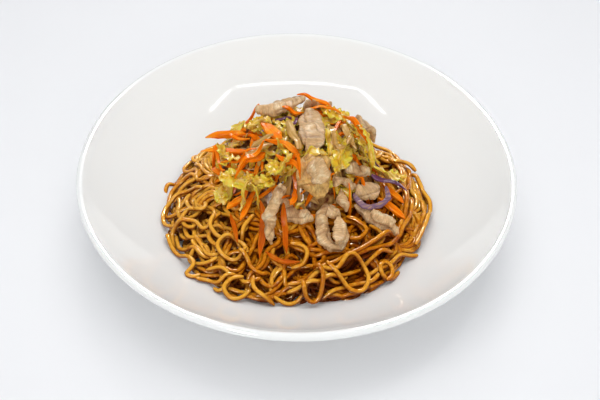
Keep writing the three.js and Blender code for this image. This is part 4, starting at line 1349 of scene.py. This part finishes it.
# Single pieces laid last, over the whole mound: kind, width and thickness in millimetres, and a
# few places in plan that each passes through.
SINGLE = (
    ("pork", 8.5, 5.0, ((18, -42), (22, -41), (26, -39))),
    ("pork", 7.5, 3.5, ((24, -60), (26, -53), (25, -44))),
    ("pork", 14, 6.0, ((8, -27), (11, -30), (14, -34))),
    ("pork", 8.0, 3.5, ((45, -36), (51, -38), (59, -37))),
    ("onion", 3.0, 0.8, ((-24, -2), (-28, -10), (-31, -17))),
    ("onion", 4.0, 0.8, ((-28, -4), (-21, -3), (-14, -2))),
    ("onion", 3.0, 0.8, ((19, 8), (21, -1), (22, -10))),
    ("onion", 3.4, 0.8, ((26, 6), (30, -3), (33, -10))),
    ("onion", 3.0, 0.8, ((33, -4), (27, -9), (21, -8))),
    ("carrot", 2.0, 1.5, ((-53, 7), (-48, -6), (-43, -18))),
    ("carrot", 2.4, 1.6, ((-37, -23), (-30, -20), (-20, -13))),
    ("carrot", 1.8, 1.4, ((-46, -8), (-34, -12), (-24, -12))),
    ("carrot", 2.2, 1.6, ((-10, 23), (-3, 21), (3, 18))),
    ("carrot", 2.2, 1.5, ((-34, 26), (-30, 25), (-24, 22))),
    ("carrot", 2.0, 1.5, ((-52, 9), (-40, 4), (-28, 2))),
    ("carrot", 2.2, 1.6, ((-1, 31), (13, 29), (28, 28))),
    ("carrot", 1.8, 1.4, ((4, 25), (15, 26), (27, 21))),
    ("carrot", 1.8, 1.4, ((31, -25), (32, -29), (33, -36))),
    ("carrot", 1.8, 1.2, ((-3, -23), (0, -28), (2, -33))),
    ("cabbage", 3.2, 0.6, ((-26, -22), (-28, -29), (-31, -33), (-33, -40))),
    ("cabbage", 3.4, 0.6, ((-13, -9), (-6, -15), (-3, -22))),
    ("cabbage", 2.0, 0.6, ((-28, -32), (-24, -34), (-22, -39))),
    ("cabbage", 5.0, 0.6, ((-49, 0), (-41, -9), (-32, -10))),
    ("cabbage", 4.0, 0.6, ((-29, 7), (-22, 9), (-16, 11))),
    ("cabbage", 4.5, 0.6, ((-18, -25), (-10, -27), (-3, -26))),
    ("cabbage", 3.5, 0.6, ((17, 6), (19, -8), (21, -19))),
    ("cabbage", 3.5, 0.6, ((29, -8), (25, -15), (23, -22))),
    ("cabbage", 4.0, 0.6, ((36, 5), (41, -1), (46, -7))),
    ("cabbage", 5.0, 0.7, ((5, -18), (12, -20), (19, -17))),
)


def cut_piece(kind, points, width, thickness, draw):
    """A small piece of a kind along its points: the points, its sections, and how they roll."""
    seed = int(draw.integers(1, 9999))
    frill = SMALL[kind][5] * min(1, width / 6)
    run = travelled(points)
    share, half = run / run[-1], np.full(len(points), width / 2)
    roll = draw.uniform(-0.3, 0.3) + 0.35 * np.sin(run / 9 + seed)
    if not frill:
        return points, stick_outlines(half, thickness, share, seed), roll
    tip = np.clip(np.minimum(share, 1 - share) * 6, 0.3, 1)
    middle = leaf_middle(run, half, 9, frill, seed) * min(1, 0.35 + 0.5 * SMALL[kind][5])
    middle += draw.uniform(-0.25, 0.3) * half[:, None] * np.linspace(-1, 1, 9) ** 2
    left, right = (half * tip * edge_jitter(run, seed + start) for start in (0, 11))
    return points, sheet_outlines(left, right, middle, thickness), roll


def lying_radius(thickness):
    """Radius of the bar that stands for a small piece in the pile."""
    return round(max(thickness / 2, 0.9), 1)


def lay_small(kind, draw, pile, target, shown):
    """Lays small pieces of one kind where their mound is lowest, and cuts them."""
    count, lengths, widths, thicknesses, curl, _ = SMALL[kind]
    open_cells = np.argwhere(shown)
    parts = []
    for _ in range(8 * count):
        if len(parts) == count:
            break
        start = pile.lowest(draw, SMALL_TRIES, open_cells, target)
        length, width, thickness = (draw.uniform(*span) for span in (lengths, widths, thicknesses))
        run = SMALL_STEP * np.arange(max(int(length / SMALL_STEP), 6))
        turns = draw.uniform(0, 2 * math.pi) + curl * draw.uniform(-1, 1) * run + 0.25 * np.sin(
            run * draw.uniform(0.2, 0.5) + draw.uniform(0, 6))
        way = start + np.cumsum(np.stack([np.cos(turns), np.sin(turns)], axis=1) * SMALL_STEP, axis=0)
        way -= (way[-1] - way[0]) / 2
        radius = lying_radius(thickness)
        before = pile.top.copy()
        laid, _ = draped(pile, way, radius, 20)
        blocked = (pile.room(way, radius) < laid[:, 2] - BLOCKED_DEPTH).mean() > MOST_BLOCKED
        over = laid[:, 2] + radius - target[cells(laid)]
        past = np.isnan(over).mean() > MOST_PAST
        if blocked or past or np.nanmean(np.maximum(over, 0)) > MOST_RISE:
            pile.top = before
            continue
        pile.press(laid, radius)
        parts.append(cut_piece(kind, laid, width, thickness, draw))
    return parts


def lay_single(kind, draw, pile):
    """Lays the single pieces of one kind over the mound, and cuts them."""
    parts = []
    for _, width, thickness, corners in (row for row in SINGLE if row[0] == kind):
        radius = lying_radius(thickness)
        laid, _ = draped(pile, through(corners, 0.9), radius, 14)
        pile.press(laid, radius)
        parts.append(cut_piece(kind, laid, width, thickness, draw))
    return parts


class YAKISOBA_OT_small_toppings(bpy.types.Operator):
    """Piles up the small shreds that fill the mound under the large toppings"""

    bl_idname = "yakisoba.small_toppings"
    bl_label = "Small toppings"

    def execute(self, context):
        look, noodles = context.scene.yakisoba_toppings, context.scene.yakisoba_noodles
        face = blurred(scan([TOPPING_HEAP], True), 3)
        under = blurred(scan([TOPPING_HEAP], False), 3)
        over = scan(TOPPINGS, False)
        outline = Outline(face, MOUND_CENTRE)
        sink = look.bed_depth / MM
        base = heap_bed(
            "topping_bed", outline, blurred(face, 8), sink, lambda places: under[cells(places)] - 1)
        hand_over(base, sauce_and_shade_bed(noodles, look.onion), "small_toppings", TOPPING_HEAP)
        pile = Pile(np.where(np.isnan(face), 0.0, face - sink), over)
        draw = np.random.default_rng(look.seed)
        shown = ~np.isnan(face)
        skins = {
            "carrot": fried_carrot(look), "cabbage": fried_cabbage(look), "onion": fried_onion(look),
            "pork": fried_pork(look), "red_cabbage": red_cabbage(look.purple, look.purple_pale)}
        small = {kind: lay_small(kind, draw, pile, face + SMALL_RISE, shown) for kind in SMALL}
        pile = Pile(np.fmax(pile.top, scan(TOPPINGS, True) + SINGLE_RISE), np.full_like(face, FAR))
        for kind, laid in small.items():
            angle = STICK_ANGLE if kind == "carrot" else SHEET_ANGLE
            piece = bars_piece(f"small_{kind}_pieces", laid + lay_single(kind, draw, pile), angle)
            hand_over(piece, skins[kind], "small_toppings", TOPPING_HEAP)
        return {"FINISHED"}


# ---------------------------------------------------------------- stage

# How the camera is turned, in degrees: down from level, to the right, and about its own axis.
CAMERA_DOWN, CAMERA_RIGHT, CAMERA_ROLL = 45.03, 0.25, 1.35
CAMERA_PLACE = (0, -0.5097, 0.5308)
SENSOR_WIDTH = 36  # millimetres

# Soft lights, one over the plate and one before it: place and sides, in metres.
WINDOW_PLACE, WINDOW_SIDES = (0.03, -0.02, 1.05), (1.0, 0.6)
FILL_PLACE, FILL_SIDES = (0.1, -1.3, 0.95), (1.4, 0.6)

# The thin lights high over the plate, as chains of corners in metres, and their width.
STRIPS = (
    ((0.248, -0.033), (0.12, -0.069), (-0.004, -0.079), (-0.12, -0.069), (-0.236, -0.036)),
    ((0.276, 0.0), (0.314, 0.158)),
    ((-0.25, -0.02), (-0.306, 0.145)),
)
STRIP_HEIGHT, STRIP_WIDTH = 0.8, 0.012

# Round lights that only make the wet food glint: places and width, in metres.
SPARKS = ((-0.18, 0.68, 0.88), (0.16, 0.72, 0.86), (-0.4, -1.0, 0.7))
SPARK_WIDTH = 0.2


def area_light(name, shape, place, sides, power):
    """A flat light that faces the middle of the plate."""
    bpy.ops.object.light_add(type="AREA", location=place)
    light = bpy.context.active_object
    light.name = name
    light.rotation_euler = (-Vector(place)).to_track_quat("-Z", "Y").to_euler()
    light.data.shape, light.data.energy = shape, power
    light.data.size, light.data.size_y = sides
    return light


class YAKISOBA_OT_stage(bpy.types.Operator):
    """Sets up the camera, the table, the soft light and the thin lights that the glaze reflects"""

    bl_idname = "yakisoba.stage"
    bl_label = "Stage"

    def execute(self, context):
        stage, scene = context.scene.yakisoba_stage, context.scene
        self.camera(scene, stage)
        bpy.ops.mesh.primitive_plane_add(size=6)
        table = context.active_object
        table.name = "table_top"
        table.data.materials.append(matt_table(stage))
        self.lights(stage)
        world = bpy.data.worlds.new("soft_room")
        world.use_nodes = True
        background = world.node_tree.nodes["Background"].inputs
        background["Color"].default_value = (*linear("F6F8FC"), 1)
        background["Strength"].default_value = stage.sky
        world.cycles_visibility.glossy = False
        scene.world = world
        scene.view_settings.view_transform = "Standard"
        return {"FINISHED"}

    def camera(self, scene, stage):
        """Looks down on the plate from the front."""
        down, right, roll = (math.radians(v) for v in (CAMERA_DOWN, CAMERA_RIGHT, CAMERA_ROLL))
        turn = Matrix.Rotation(-right, 3, "Z") @ Matrix.Rotation(math.pi / 2 - down, 3, "X")
        turn @= Matrix.Rotation(roll, 3, "Z")
        bpy.ops.object.camera_add(location=CAMERA_PLACE, rotation=turn.to_euler())
        scene.camera = bpy.context.active_object
        scene.camera.data.lens, scene.camera.data.sensor_width = stage.lens, SENSOR_WIDTH
        scene.camera.data.clip_start = 0.01

    def lights(self, stage):
        """A soft light over the plate, one from the front, small ones and thin ones."""
        window = area_light("window_light", "RECTANGLE", WINDOW_PLACE, WINDOW_SIDES, stage.window)
        fill = area_light("fill_light", "RECTANGLE", FILL_PLACE, FILL_SIDES, stage.fill)
        window.visible_glossy = fill.visible_glossy = False
        for place in SPARKS:
            spark = area_light("spark_light", "DISK", place, (SPARK_WIDTH, SPARK_WIDTH), stage.spark)
            spark.visible_diffuse = False
        for start, stop in (pair for chain in STRIPS for pair in zip(chain, chain[1:])):
            middle, run = (Vector(start) + Vector(stop)) / 2, Vector(stop) - Vector(start)
            strip = area_light(
                "strip_light", "RECTANGLE", (*middle, STRIP_HEIGHT), (run.length, STRIP_WIDTH),
                stage.strip * run.length)
            strip.rotation_euler = 0, 0, math.atan2(run.y, run.x)


# ---------------------------------------------------------------- add-on


OPERATORS = (
    YAKISOBA_OT_stage,
    YAKISOBA_OT_plate,
    YAKISOBA_OT_noodles,
    YAKISOBA_OT_small_toppings,
    YAKISOBA_OT_pork,
    YAKISOBA_OT_carrot,
    YAKISOBA_OT_cabbage,
    YAKISOBA_OT_onion,
    YAKISOBA_OT_red_cabbage,
)


class YAKISOBA_PT_panel(bpy.types.Panel):
    """Lists the steps that dress the plate"""

    bl_label = "Yakisoba"
    bl_idname = "YAKISOBA_PT_panel"
    bl_space_type = "VIEW_3D"
    bl_region_type = "UI"
    bl_category = "Yakisoba"

    def draw(self, context):
        for operator in OPERATORS:
            self.layout.operator(operator.bl_idname)


SETTINGS = {
    "yakisoba_plate": PlateSettings,
    "yakisoba_noodles": NoodleSettings,
    "yakisoba_toppings": ToppingSettings,
    "yakisoba_stage": StageSettings,
}


def register():
    """Registers the classes and hangs the settings on the scene."""
    for group in (*SETTINGS.values(), *OPERATORS, YAKISOBA_PT_panel):
        bpy.utils.register_class(group)
    for name, group in SETTINGS.items():
        setattr(bpy.types.Scene, name, PointerProperty(type=group))


def unregister():
    """Takes away what register adds."""
    for name in SETTINGS:
        delattr(bpy.types.Scene, name)
    for group in (YAKISOBA_PT_panel, *reversed(OPERATORS), *reversed(SETTINGS.values())):
        bpy.utils.unregister_class(group)


def main():
    """Dresses the plate step by step."""
    register()
    for operator in OPERATORS:
        group, name = operator.bl_idname.split(".")
        getattr(getattr(bpy.ops, group), name)()


if __name__ == "__main__":
    main()
